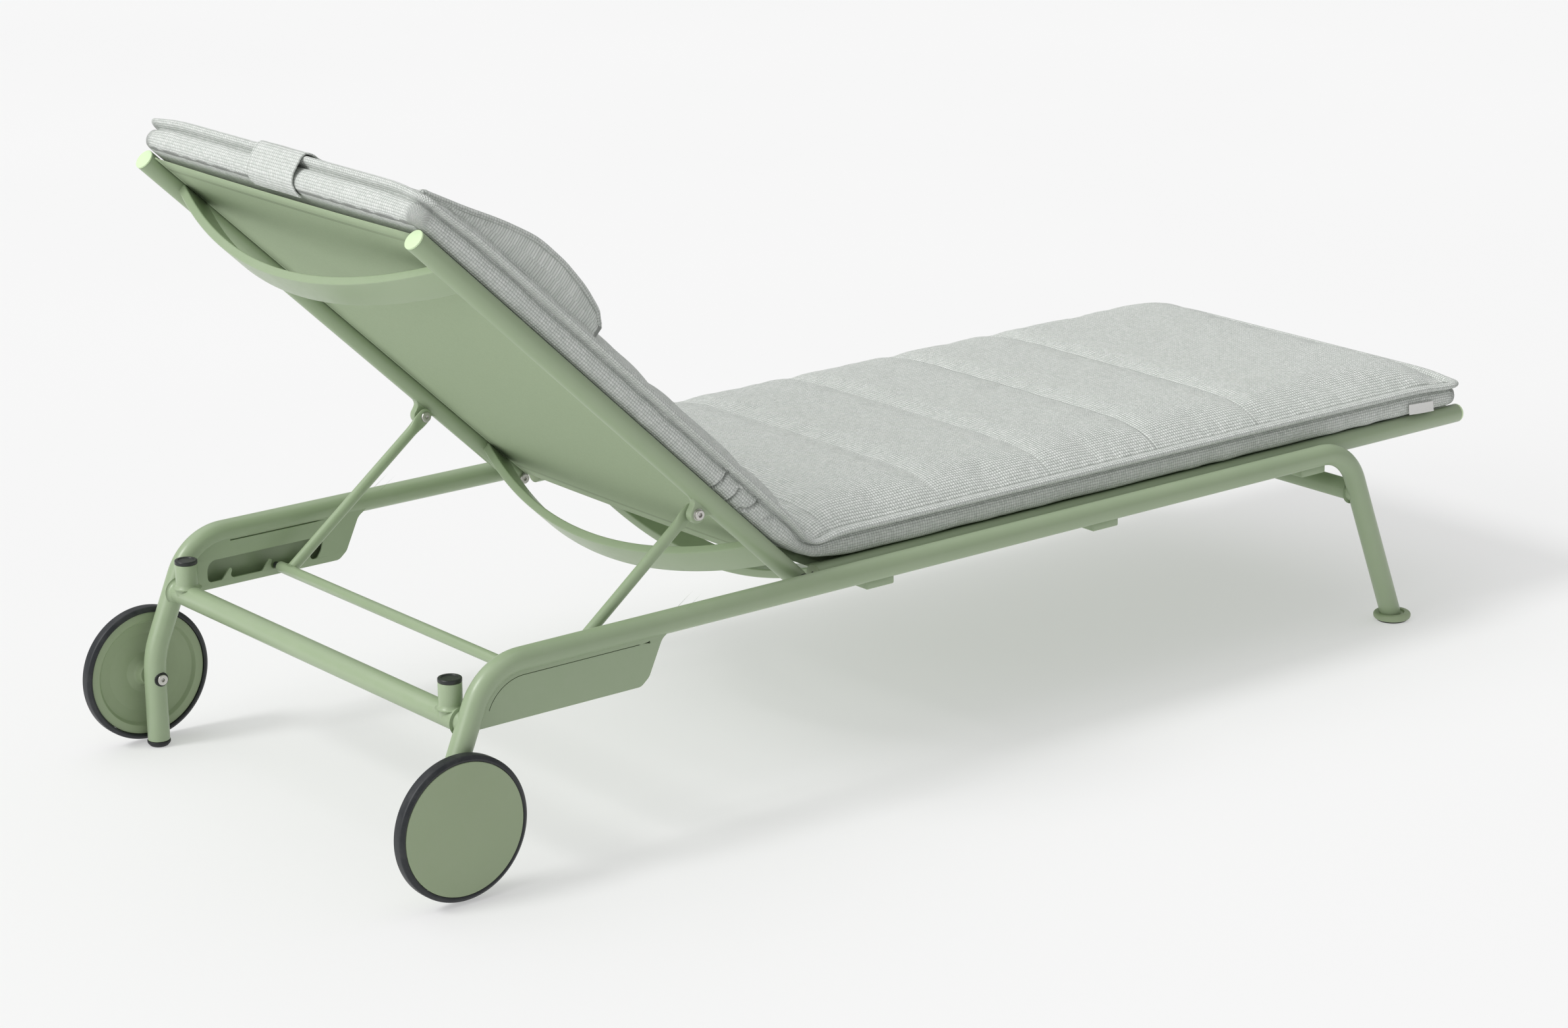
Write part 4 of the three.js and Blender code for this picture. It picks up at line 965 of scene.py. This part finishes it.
# ---- mattress pad -------------------------------------------------------------------------------
PAD_X = high("seat_cushion")[0]
PAD_FOOT_S = low("seat_cushion")[1] + 0.0015 - HINGE[1]
PAD_HEAD_T = BACK_LEN + 0.024
PAD_LOW, PAD_SEAM, PAD_CROWN = 0.0153, 0.0560, 0.091
BEND_C = 0.108
BEND_REACH = BEND_C * math.tan(BACK / 2)
BEND_LEN = (BEND_C - 0.045) * BACK
SHIFT = BEND_REACH - BEND_LEN / 2
CORNER = 0.024
INSET = 0.019
LINES = np.array([-0.9015, -0.6915, -0.4815, -0.2715, -0.0615, 0.1490, 0.3590, 0.5690, 0.7790])
# the pad's rim from top seam to bottom panel: distance out from its outline, height above the tube axes
RIM = np.array([(-0.0170, 0.0510), (-0.0152, 0.0490), (-0.0136, 0.0506), (-0.0129, 0.0540),
                (-0.0115, 0.0574), (-0.0084, 0.0596),
                (-0.0043, 0.0603), (-0.0001, 0.0595), (0.0031, 0.0574), (0.0042, 0.0545), (0.0031, 0.0516),
                        (-0.0001, 0.0496),
                (-0.0050, 0.0488), (-0.0106, 0.0480), (-0.0112, 0.0464), (-0.0062, 0.0444),
                        (-0.0036, 0.0405), (-0.0024, 0.0350),
                (-0.0022, 0.0290), (-0.0035, 0.0235), (-0.0065, 0.0190), (-0.0110, 0.0165),
                        (-0.0155, 0.0157)])


def to_s(p):
    """Distance along a plane from the hinge to distance along the bent pad."""
    return p - np.sign(p) * SHIFT


def bend_pad(x, s, w):
    """Pad space to the frame: flat on the seat and back, an arc of radius BEND_C - w over the hinge."""
    x, s, w = np.broadcast_arrays(x, s, w)
    turn = np.clip(s / BEND_LEN + 0.5, 0, 1) * BACK
    extra = s - np.clip(s, -BEND_LEN / 2, BEND_LEN / 2)
    radius = BEND_C - w
    y = HINGE[1] - BEND_REACH + radius * np.sin(turn) + extra * np.where(s > 0, math.cos(BACK), 1)
    z = SEAT_Z + BEND_C - radius * np.cos(turn) + extra * np.where(s > 0, math.sin(BACK), 0)
    return np.stack([x, y, z], -1)


def slump(x, s, w, s0, s1):
    """The pad is thinner at its four corners."""
    away = np.hypot(PAD_X - np.minimum(np.abs(x), PAD_X), np.minimum(s - s0, s1 - s))
    return PAD_LOW + (w - PAD_LOW) * (1 - 0.17 * np.exp(-(away / 0.05) ** 2))


def squeeze(s, w):
    """The pad is thinner where it folds at the hinge."""
    return PAD_LOW + 0.010 * np.exp(-(s / 0.042) ** 2) + (w - PAD_LOW) * (1 - 0.46 *
            np.exp(-(s / 0.038) ** 2))


def pad_top(x, s, s0, s1):
    """The top panel rises from the rim seam to the crown, and dips at each sewn line and at the fold."""
    dx, ds = PAD_X - np.abs(x), np.minimum(s - s0, s1 - s)
    swell = (1 - np.exp(-np.maximum(dx - INSET, 0) / 0.036)) * (1 -
            np.exp(-np.maximum(ds - INSET, 0) / 0.036))
    w = PAD_SEAM + (PAD_CROWN - PAD_SEAM) * swell
    for line in to_s(LINES):
        w = w - swell * (0.0032 * np.exp(-((s - line) / 0.020) ** 2) + 0.0014 *
                         np.exp(-((s - line) / 0.005) ** 2))
    w = w - 0.020 * np.exp(-(s / 0.034) ** 2) * swell
    return squeeze(s, slump(x, s, w, s0, s1))


def grid_lines(start, stop, step, extra=()):
    """Three fine lines inside each rounded corner, even steps between them, and the extras merged in."""
    core = CORNER - INSET
    mid = np.linspace(start + CORNER, stop - CORNER, int((stop - start - 2 * CORNER) / step) + 1)
    for e in extra:
        mid = mid[np.abs(mid - e) > step * 0.42]
    mid = np.sort(np.concatenate([mid, np.asarray(extra, float)])) if len(extra) else mid
    ends = core * np.array([1, 0.67, 0.34])
    return np.concatenate([mid[0] - ends, mid, mid[-1] + ends[::-1]])


def build_pad(name):
    """Top and bottom panels on one grid with rounded corners, joined by rings that follow the rim profile."""
    s0, s1 = to_s(PAD_FOOT_S), to_s(PAD_HEAD_T)
    extra = np.concatenate([to_s(LINES) + d for d in (-0.009, -0.004, -0.0012, 0.0012, 0.004, 0.009)] +
                           [np.linspace(0.10, 0.21, 26), np.linspace(-0.03, 0.03, 11)])
    extra = np.sort(extra)
    extra = extra[np.concatenate([[True], np.diff(extra) > 0.002])]
    rows, cols = grid_lines(s0, s1, 0.011, extra), grid_lines(-PAD_X, PAD_X, 0.011)
    x, s = np.meshgrid(cols, rows)
    core = CORNER - INSET
    cx, cs = np.clip(x, -PAD_X + CORNER, PAD_X - CORNER), np.clip(s, s0 + CORNER, s1 - CORNER)
    a, b = (x - cx) / core, (s - cs) / core
    reach = np.maximum(np.abs(a), np.abs(b))
    angle = np.arctan2(b, a)
    corner = (np.abs(a) > 1e-6) & (np.abs(b) > 1e-6)
    small, big = np.minimum(np.abs(a), np.abs(b)), np.maximum(np.abs(a), np.abs(b))
    eased = np.pi / 4 * small / np.maximum(big, 1e-9)
    quarter = np.where(np.abs(a) >= np.abs(b), eased, np.pi / 2 - eased)
    nx = np.where(corner, np.cos(quarter) * np.sign(a), np.cos(angle) * (reach > 1e-6))
    ns = np.where(corner, np.sin(quarter) * np.sign(b), np.sin(angle) * (reach > 1e-6))
    x, s = cx + nx * reach * core, cs + ns * reach * core
    n = x.size
    index = np.arange(n).reshape(x.shape)
    edge = np.concatenate([index[0], index[1:, -1], index[-1, -2::-1], index[-2:0:-1, 0]])
    ex, es, enx, ens = cx.ravel()[edge], cs.ravel()[edge], nx.ravel()[edge], ns.ravel()[edge]
    top = pad_top(x, s, s0, s1)
    places = [np.stack([x, s, top], -1).reshape(-1, 3)]
    flat = [np.stack([x, s], -1).reshape(-1, 2)]
    run = 0.0
    before = np.array([-INSET, PAD_SEAM])
    for out, w in RIM:
        run += math.hypot(out - before[0], w - before[1])
        before = np.array([out, w])
        d = CORNER + out
        places.append(np.stack([ex + enx * d, es + ens * d,
                                squeeze(es, slump(ex, es, np.full(len(es), w), s0 + CORNER, s1 - CORNER))],
                                        -1))
        flat.append(np.stack([ex + enx * (core + run), es + ens * (core + run)], -1))
    places.append(np.stack([x, s, squeeze(s, np.full(x.shape, PAD_LOW))], -1).reshape(-1, 3))
    flat.append(np.stack([x, s], -1).reshape(-1, 2) * [-1, 1])
    m, rims = len(edge), len(RIM)
    faces = [quads(*x.shape)]
    rings = [edge] + [n + k * m + np.arange(m) for k in range(rims)] + [n + rims * m + edge]
    for first, second in zip(rings, rings[1:]):
        faces.append(np.stack([first, second, np.roll(second, -1), np.roll(first, -1)], -1))
    faces.append(quads(*x.shape)[:, ::-1] + n + rims * m)
    return np.concatenate(places), np.concatenate(flat), np.concatenate(faces), n, (s0, s1), x.shape


def cloth_panel(name, verts, faces, pinned, pressure, shrink, cap, frames=20):
    """Settles a panel as cloth under air pressure, some points held, and limits how far a point moves."""
    mesh = raw_mesh(name, verts, faces)
    obj = placed(name, mesh)
    hold = obj.vertex_groups.new(name="held")
    hold.add(np.flatnonzero(pinned).tolist(), 1.0, "REPLACE")
    mod = obj.modifiers.new("cloth", "CLOTH")
    cloth, scene = mod.settings, bpy.context.scene
    cloth.quality, cloth.mass, cloth.air_damping = 6, 0.25, 6
    cloth.tension_stiffness = cloth.compression_stiffness = 22
    cloth.shear_stiffness, cloth.bending_stiffness = 8, 0.35
    cloth.tension_damping = cloth.compression_damping = cloth.shear_damping = 12
    cloth.use_pressure, cloth.uniform_pressure_force = True, pressure
    cloth.shrink_min, cloth.vertex_group_mass = shrink, "held"
    cloth.effector_weights.gravity = 0
    mod.collision_settings.use_collision = False
    mod.point_cache.frame_start, mod.point_cache.frame_end = 1, frames
    for f in range(1, frames + 1):
        scene.frame_set(f)
    dg = bpy.context.evaluated_depsgraph_get()
    done = np.empty(len(verts) * 3, np.float32)
    obj.evaluated_get(dg).data.vertices.foreach_get("co", done)
    done = done.reshape(-1, 3).astype(float)
    bpy.data.objects.remove(obj)
    bpy.data.meshes.remove(mesh)
    scene.frame_set(1)
    move = done - verts
    far = np.linalg.norm(move, axis=1)[:, None]
    move *= np.minimum(1, cap / np.maximum(far, 1e-9))
    return verts + np.where(np.isfinite(move), move, 0)


def smooth_piece(name, verts, uv, faces, levels=1):
    """The mesh with its UV map, subdivided and applied."""
    mesh = raw_mesh(name + "_cage", verts, faces)
    smooth_faces(mesh)
    cage = placed(name + "_cage", mesh)
    uv_map(cage, uv)
    if levels:
        mod = cage.modifiers.new("smooth", "SUBSURF")
        mod.levels = mod.render_levels = levels
    fine = bpy.data.meshes.new_from_object(cage.evaluated_get(bpy.context.evaluated_depsgraph_get()))
    fine.name = name
    bpy.data.objects.remove(cage)
    bpy.data.meshes.remove(mesh)
    smooth_faces(fine)
    return placed(name, fine)


def points(obj):
    """A piece's points as an n by 3 array."""
    co = np.empty(len(obj.data.vertices) * 3)
    obj.data.vertices.foreach_get("co", co)
    return co.reshape(-1, 3)


def set_points(obj, co):
    """Writes a piece's points."""
    obj.data.vertices.foreach_set("co", np.asarray(co).ravel())
    obj.data.update()


def normals(obj):
    """A piece's point normals as an n by 3 array."""
    n = np.empty(len(obj.data.vertices) * 3)
    obj.data.vertices.foreach_get("normal", n)
    return n.reshape(-1, 3)


def unbend(co):
    """The frame back to pad space (x, s, w)."""
    y, z = co[:, 1] - HINGE[1], co[:, 2] - SEAT_Z
    turn = np.arctan2(y + BEND_REACH, BEND_C - z)
    t, w = y * math.cos(BACK) + z * math.sin(BACK), -y * math.sin(BACK) + z * math.cos(BACK)
    on_seat, behind = y < -BEND_REACH, t > BEND_REACH
    s = np.where(on_seat, y + SHIFT, np.where(behind, t - SHIFT, (turn / BACK - 0.5) * BEND_LEN))
    deep = BEND_C - np.hypot(y + BEND_REACH, BEND_C - z)
    return np.stack([co[:, 0], s, np.where(on_seat, z, np.where(behind, w, deep))], -1)


def near_line(p, a, b):
    """Distance of points from a segment, and how far along it."""
    a, b = np.asarray(a, float), np.asarray(b, float)
    k = np.clip((p - a) @ (b - a) / ((b - a) @ (b - a)), 0, 1)
    return np.linalg.norm(p - a - k[:, None] * (b - a), axis=1), k


pad_space, pad_uv, pad_faces, top_count, (S0, S1), top_shape = build_pad("pad")
world = bend_pad(*pad_space.T)
panel = world[:top_count]
x, s = pad_space[:top_count, 0], pad_space[:top_count, 1]
rim = np.minimum(PAD_X - np.abs(x), np.minimum(s - S0, S1 - s)) < INSET + 0.001
sewn = np.min(np.abs(s[:, None] - to_s(LINES)[None]), axis=1) < 0.0018
folded = np.abs(s) < 0.006
# the panel settles between its rim, its sewn lines and the fold
world[:top_count] = cloth_panel("pad_panel", panel, quads(*top_shape), rim | sewn | folded, 1.2, -0.010,
                                0.0028)
pad = smooth_piece("pad", world, pad_uv, pad_faces)
co = points(pad)
flat = unbend(co)
n = normals(pad)
dx, ds = PAD_X - np.abs(flat[:, 0]), np.minimum(flat[:, 1] - S0, S1 - flat[:, 1])
on_top = np.clip((flat[:, 2] - 0.040) / 0.01, 0, 1) * np.clip((np.minimum(dx, ds) - 0.012) / 0.006, 0, 1)
press = np.zeros(len(co))
for line in to_s(LINES):
    press += stitch((flat[:, 1] - line) * 0.8, flat[:, 0], 0.006) * 0.0010 * on_top
ripple = np.sin(flat[:, 0] * 61 + 1.7 * np.sin(flat[:, 1] * 23)) * np.sin(flat[:, 1] * 47 + 1.3 *
        np.sin(flat[:, 0] * 31))
press -= 0.0006 * ripple * on_top
near_seam = np.exp(-((np.minimum(dx, ds) - 0.026) / 0.012) ** 2)
along = np.where(dx < ds, flat[:, 1], flat[:, 0])
press += 0.0007 * near_seam * np.sin(along * 420 + 3 * np.sin(along * 37)) * (0.5 + 0.5 *
        np.sin(along * 29)) * on_top
side_face = np.clip((0.050 - flat[:, 2]) / 0.008, 0, 1) * np.clip((flat[:, 2] - 0.014) / 0.004, 0,
        1) * (np.minimum(dx, ds) < 0.012)
press += 0.0009 * side_face * np.sin(along * 58 + 2.2 * np.sin(along * 17)) * np.sin(along * 11 + 1)
near = flat[:, 0] < -PAD_X + 0.020
tw = np.stack([flat[:, 1] + SHIFT, flat[:, 2]], -1)
# Folds in the near side face of the back cushion: pressed in, and darkened in the colour as painted shade.
crease_shade = np.zeros(len(co))
for a, b, depth, wide in (((0.208, 0.046), (0.213, 0.018), 0.0052, 0.0022),
                          ((0.177, 0.040), (0.179, 0.018), 0.0044, 0.0020),
                          ((0.135, 0.046), (0.146, 0.026), 0.0036, 0.0023),
                                  ((0.146, 0.026), (0.156, 0.019), 0.0032, 0.0022),
                          ((0.100, 0.044), (0.112, 0.030), 0.0020, 0.0030)):
    d, k = near_line(tw, a, b)
    crease_shade = np.maximum(crease_shade, near * np.exp(-(d / (0.6 * wide)) ** 2) * depth / 0.0065)
    press += np.where(near,
                      depth * np.exp(-(d / wide) ** 2) - 0.35 * depth *
                              np.exp(-((d - 2.2 * wide) / wide) ** 2), 0)
set_points(pad, co - n * press[:, None])
# The sewn lines on top and the folds are darkened in the cloth colour: painted shade.
paint_seam_shade(pad, crease_shade + 0.30 * on_top *
    np.max([stitch((flat[:, 1] - line) * 0.8, flat[:, 0], 0.006) for line in to_s(LINES)], axis=0))
settle(pad, CANVAS, None, "pad_fabric", "seat_cushion", "back_cushion")
bend_pad(0.0, -0.045, 0.045).tolist()
bend_pad(0.0, 0.045, 0.045).tolist()
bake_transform(pad)


# ---- head pillow, its piping and its strap ------------------------------------------------------
PILLOW_X = high("head_pillow")[0] - 0.001
T_MARKS = np.array([0.490, 0.492, 0.495, 0.507, 0.545, 0.592, 0.640, 0.660, 0.706, 0.735, 0.765, 0.800,
                    0.826, 0.833])
END_TOP = np.array([0.0800, 0.0860, 0.0960, 0.1010, 0.1120, 0.1180, 0.1180, 0.1150, 0.1030, 0.0935, 0.0830,
                    0.0725, 0.0645, 0.0620])
MID_TOP = np.array([0.0840, 0.0920, 0.1020, 0.1110, 0.1290, 0.1375, 0.1330, 0.1270, 0.1110, 0.0995, 0.0890,
                    0.0770, 0.0670, 0.0630])


def soft_curve(t, marks, values):
    """A smooth curve through marks: linear between them, then averaged over a short run."""
    spread = np.linspace(-0.012, 0.012, 9)
    return np.mean([np.interp(t + d, marks, values) for d in spread], axis=0)


def build_pillow():
    """Loops over the top panel and back along the bottom; past each end they close in as a lens."""
    k = (1 - np.cos(np.linspace(0, np.pi, 64))) / 2
    t = T_MARKS[0] + (T_MARKS[-1] - T_MARKS[0]) * (0.55 * k + 0.45 * np.linspace(0, 1, 64))
    x = PILLOW_X * np.sin(np.linspace(-1, 1, 72) * math.pi / 2 * 0.96) / math.sin(math.pi / 2 * 0.96)
    ends = np.array([0.30, 0.62, 0.86, 1.0])
    bulge = 0.002 * np.sin(ends * math.pi / 2)
    xs = np.concatenate([-PILLOW_X - bulge[::-1], x, PILLOW_X + bulge])
    close = np.concatenate([ends[::-1], np.zeros(len(x)), ends])[:, None]
    rise = (1 - np.exp(-(PILLOW_X - np.minimum(np.abs(xs), PILLOW_X)) / 0.048))[:, None]
    end_top, mid_top = soft_curve(t, T_MARKS, END_TOP), soft_curve(t, T_MARKS, MID_TOP)
    top = end_top + (mid_top - end_top) * rise
    across, up = np.broadcast_arrays(np.clip(xs, -PILLOW_X, PILLOW_X)[:, None], to_s(t))
    low_w = np.minimum(pad_top(across, up, S0, S1) - 0.003, top - 0.002)
    under = low_w[0]
    mid = (top + low_w) / 2
    top, low_w = top + (mid - top) * close, low_w + (mid - low_w) * close
    shape = top.shape
    xx, tt = np.broadcast_to(xs[:, None], shape), np.broadcast_to(t, shape)
    verts = np.concatenate([np.stack([xx, tt, top], -1), np.stack([xx, tt, low_w], -1)[:, ::-1]], 1)
    return verts, (len(xs), 2 * len(t)), t, end_top, under


pillow_space, (pn, pm), pt, p_end, p_under = build_pillow()
faces = quads(pn, pm, wrap_cols=True)
verts = on_back(*pillow_space.reshape(-1, 3).T)
gap = np.linalg.norm(np.diff(pillow_space, axis=1, append=pillow_space[:, :1]), axis=-1)
run = np.concatenate([np.zeros((pn, 1)), np.cumsum(gap, 1)[:, :-1]], 1)[pn // 2]
uv = np.stack(np.broadcast_arrays(pillow_space[:, :, 0], run[None]), -1).reshape(-1, 2)
held = (np.abs(pillow_space[..., 0]) > PILLOW_X - 0.002) | (np.arange(pm) >= pm // 2 -
        1)[None] | (np.arange(pm) < 2)[None]
verts = cloth_panel("pillow_cloth", verts, faces, held.ravel(), 1.5, -0.02, 0.003)
pillow = smooth_piece("pillow", verts, uv, faces)
face_out(pillow.data, 0.00015)
co, n = points(pillow), normals(pillow)
local = np.stack([co[:, 0], (co - HINGE) @ ALONG, (co - HINGE) @ OFF], -1)
from_end = PILLOW_X - np.abs(local[:, 0])
gather = np.exp(-(from_end / 0.035) ** 2) * (np.abs(from_end) > 0.003)
wave = 0.0016 * gather * np.sin(local[:, 1] * 250 + 2.1 * np.sin(local[:, 1] * 41) + local[:, 0] * 9)
wave += 0.0011 * np.sin(local[:, 1] * 64 + 1.5 * np.sin(local[:, 0] * 13)) * np.sin(local[:, 0] * 19 + 0.6)
set_points(pillow, co + n * (wave * (local[:, 2] > 0.07))[:, None])


def round_cord(name, path, radius, closed=True, sides=12):
    """A cord along a closed path of points, with a UV map of length by girth."""
    way = np.roll(path, -1, 0) - np.roll(path, 1, 0)
    way /= np.linalg.norm(way, axis=1)[:, None]
    side = np.cross(way, AX)
    side /= np.linalg.norm(side, axis=1)[:, None]
    a = 2 * np.pi * np.arange(sides) / sides
    verts = path[:, None] + radius * (np.cos(a)[:, None] * AX + np.sin(a)[:, None] * side[:, None])
    length = np.concatenate([[0], np.cumsum(np.linalg.norm(np.diff(path, axis=0), axis=1))])
    uv = np.stack(np.broadcast_arrays(length[:, None], a[None] * radius), -1).reshape(-1, 2)
    return smooth_piece(name, verts.reshape(-1, 3), uv,
                        quads(len(path), sides, wrap_cols=True, wrap_rows=True), 0)


cords = []
for tail, s in SIDES:
    loop_t = np.concatenate([pt, pt[::-1]])
    loop_w = np.concatenate([p_end, p_under[::-1]])
    cords.append(round_cord(f"pillow_piping_{tail}",
                            on_back(np.full(len(loop_t), s * (PILLOW_X - 0.0005)), loop_t, loop_w),
                                    PIPING_R))
pillow = joined("pillow_cover", [pillow, *cords])
settle(pillow, CANVAS, "back", "pad_fabric", "head_pillow")

STRAP_LO, STRAP_HI = low("pillow_strap")[0], high("pillow_strap")[0]
strap_path = rounded(np.array([(-0.034, 0.0715), (-0.0195, 0.0660), (-0.006, 0.0655), (0.0042, 0.0608),
                               (0.0070, 0.0530), (0.0052, 0.0420), (0.0034, 0.0290),
                               (-0.0030, 0.0180), (-0.0150, 0.0130), (-0.0280, 0.0120)]),
                                       [0, 0.03, 0.02, 0.008, 0.02, 0.03, 0.02, 0.015, 0.02, 0], 6, False)
strap_run = np.concatenate([[0], np.cumsum(np.linalg.norm(np.diff(strap_path, axis=0), axis=1))])


def strap_place(u, v, w):
    """Across, along the strap path, and out from it along the path normal."""
    t, h = (np.interp(v, strap_run, strap_path[:, k]) for k in (0, 1))
    e = 0.001
    dt, dh = ((np.interp(v + e, strap_run, strap_path[:, k]) -
               np.interp(v - e, strap_run, strap_path[:, k])) for k in (0, 1))
    size = np.hypot(dt, dh)
    return on_back(u, PAD_HEAD_T + t - dh / size * w, h + dt / size * w)


def strap_relief(u, v):
    """A slow wave, a sewn line near each edge and a slightly raised rim."""
    edge = np.minimum(u - STRAP_LO, STRAP_HI - u)
    return 0.0002 * np.sin(u * 90) - 0.0004 * stitch(edge - 0.005,
                                                     v) + 0.0003 * np.exp(-(edge / 0.002) ** 2)


strap = cloth_sheet("strap_band",
                    fine_near(STRAP_LO, STRAP_HI, 0.006, [STRAP_LO + 0.005, STRAP_HI - 0.005], 0.003),
                            np.linspace(0, strap_run[-1], 60), strap_place, 0.0022, strap_relief)
settle(strap, CANVAS, "back", "pad_fabric", "pillow_strap")

# ---- blank care tag -----------------------------------------------------------------------------
lo, hi = low("care_tag"), high("care_tag")


def tag_place(u, v, w):
    """Sewn under the roll; hangs with a slight curl outward."""
    k = (hi[2] - v) / (hi[2] - lo[2])
    out = 0.0006 + 0.0022 * k ** 2 + 0.0008 * np.sin(u * 80) * k
    return np.stack([hi[0] - out - w, u, v - 0.003 * (hi[1] - u) / (hi[1] - lo[1])], -1)


tag = cloth_sheet("care_label", np.linspace(lo[1], hi[1], 30), np.linspace(lo[2], hi[2], 16), tag_place,
                  0.0005, lambda u, v: 0 * u)
settle(tag, RIBBON, "base", "tag_fabric", "care_tag")


# ---- studio -------------------------------------------------------------------------------------
def studio():
    """Pale floor, even white surround, a wide soft light overhead and two narrower ones from the head end."""
    mesh = bpy.data.meshes.new("floor")
    half = 60.0
    mesh.from_pydata([(-half, -half, 0), (half, -half, 0), (half, half, 0), (-half, half, 0)], [],
                     [(0, 1, 2, 3)])
    floor = placed("floor", mesh)
    mat, tree, shader = new_material("floor_paper", 0.85, Specular_IOR_Level=0.2)
    place = tree.nodes.new("ShaderNodeTexCoord").outputs["Object"]
    cloud = wire(tree, "ShaderNodeTexNoise", Vector=place, Scale=0.6, Detail=2.0)
    tree.links.new(blend_colours(tree, cloud.outputs[0], (0.49, 0.49, 0.49), (0.51, 0.51, 0.51)),
                   shader.inputs["Base Color"])
    shader.inputs["Emission Color"].default_value = (1, 1, 1, 1)
    shader.inputs["Emission Strength"].default_value = 0.40
    mesh.materials.append(mat)
    world = bpy.data.worlds.new("surround")
    world.use_nodes = True
    back = next(n for n in world.node_tree.nodes if n.type == "BACKGROUND")
    back.inputs["Color"].default_value = (1.0, 1.0, 1.0, 1)
    back.inputs["Strength"].default_value = 0.40
    bpy.context.scene.world = world
    bpy.context.scene.view_settings.view_transform = "Standard"
    for name, energy, angle, tilt in (("sky_panel", 0.90, 80, (-8, 16, 0)),
                                      ("key_panel", 1.25, 16, (-42, 14, 0)),
                                      ("head_panel", 0.80, 35, (-68, 0, 0))):
        light = bpy.data.lights.new(name, "SUN")
        light.energy, light.angle = energy, math.radians(angle)
        lamp = placed(name, light)
        lamp.rotation_euler = [math.radians(v) for v in tilt]


def camera():
    """Near three-quarter view from the head end."""
    az, el, roll = (math.radians(v) for v in (231.657, 16.626, -0.654))
    back = np.array([math.sin(az) * math.cos(el), -math.cos(az) * math.cos(el), math.sin(el)])
    right = np.cross(AZ, back)
    right /= np.linalg.norm(right)
    up = np.cross(back, right)
    right, up = math.cos(roll) * right + math.sin(roll) * up, -math.sin(roll) * right + math.cos(roll) * up
    data = bpy.data.cameras.new("camera")
    data.lens, data.sensor_width, data.shift_x, data.shift_y = 89.82, 36.0, 0.0009, -0.001
    data.clip_start, data.clip_end = 0.05, 400
    obj = placed("camera", data)
    obj.matrix_world = Matrix([[*row, place] for row,
                               place in zip(np.stack([right, up, back], 1).tolist(),
                                            (-4.3502, 3.5157, 1.9244))] + [[0, 0, 0, 1]])
    bpy.context.scene.camera = obj


studio()
camera()
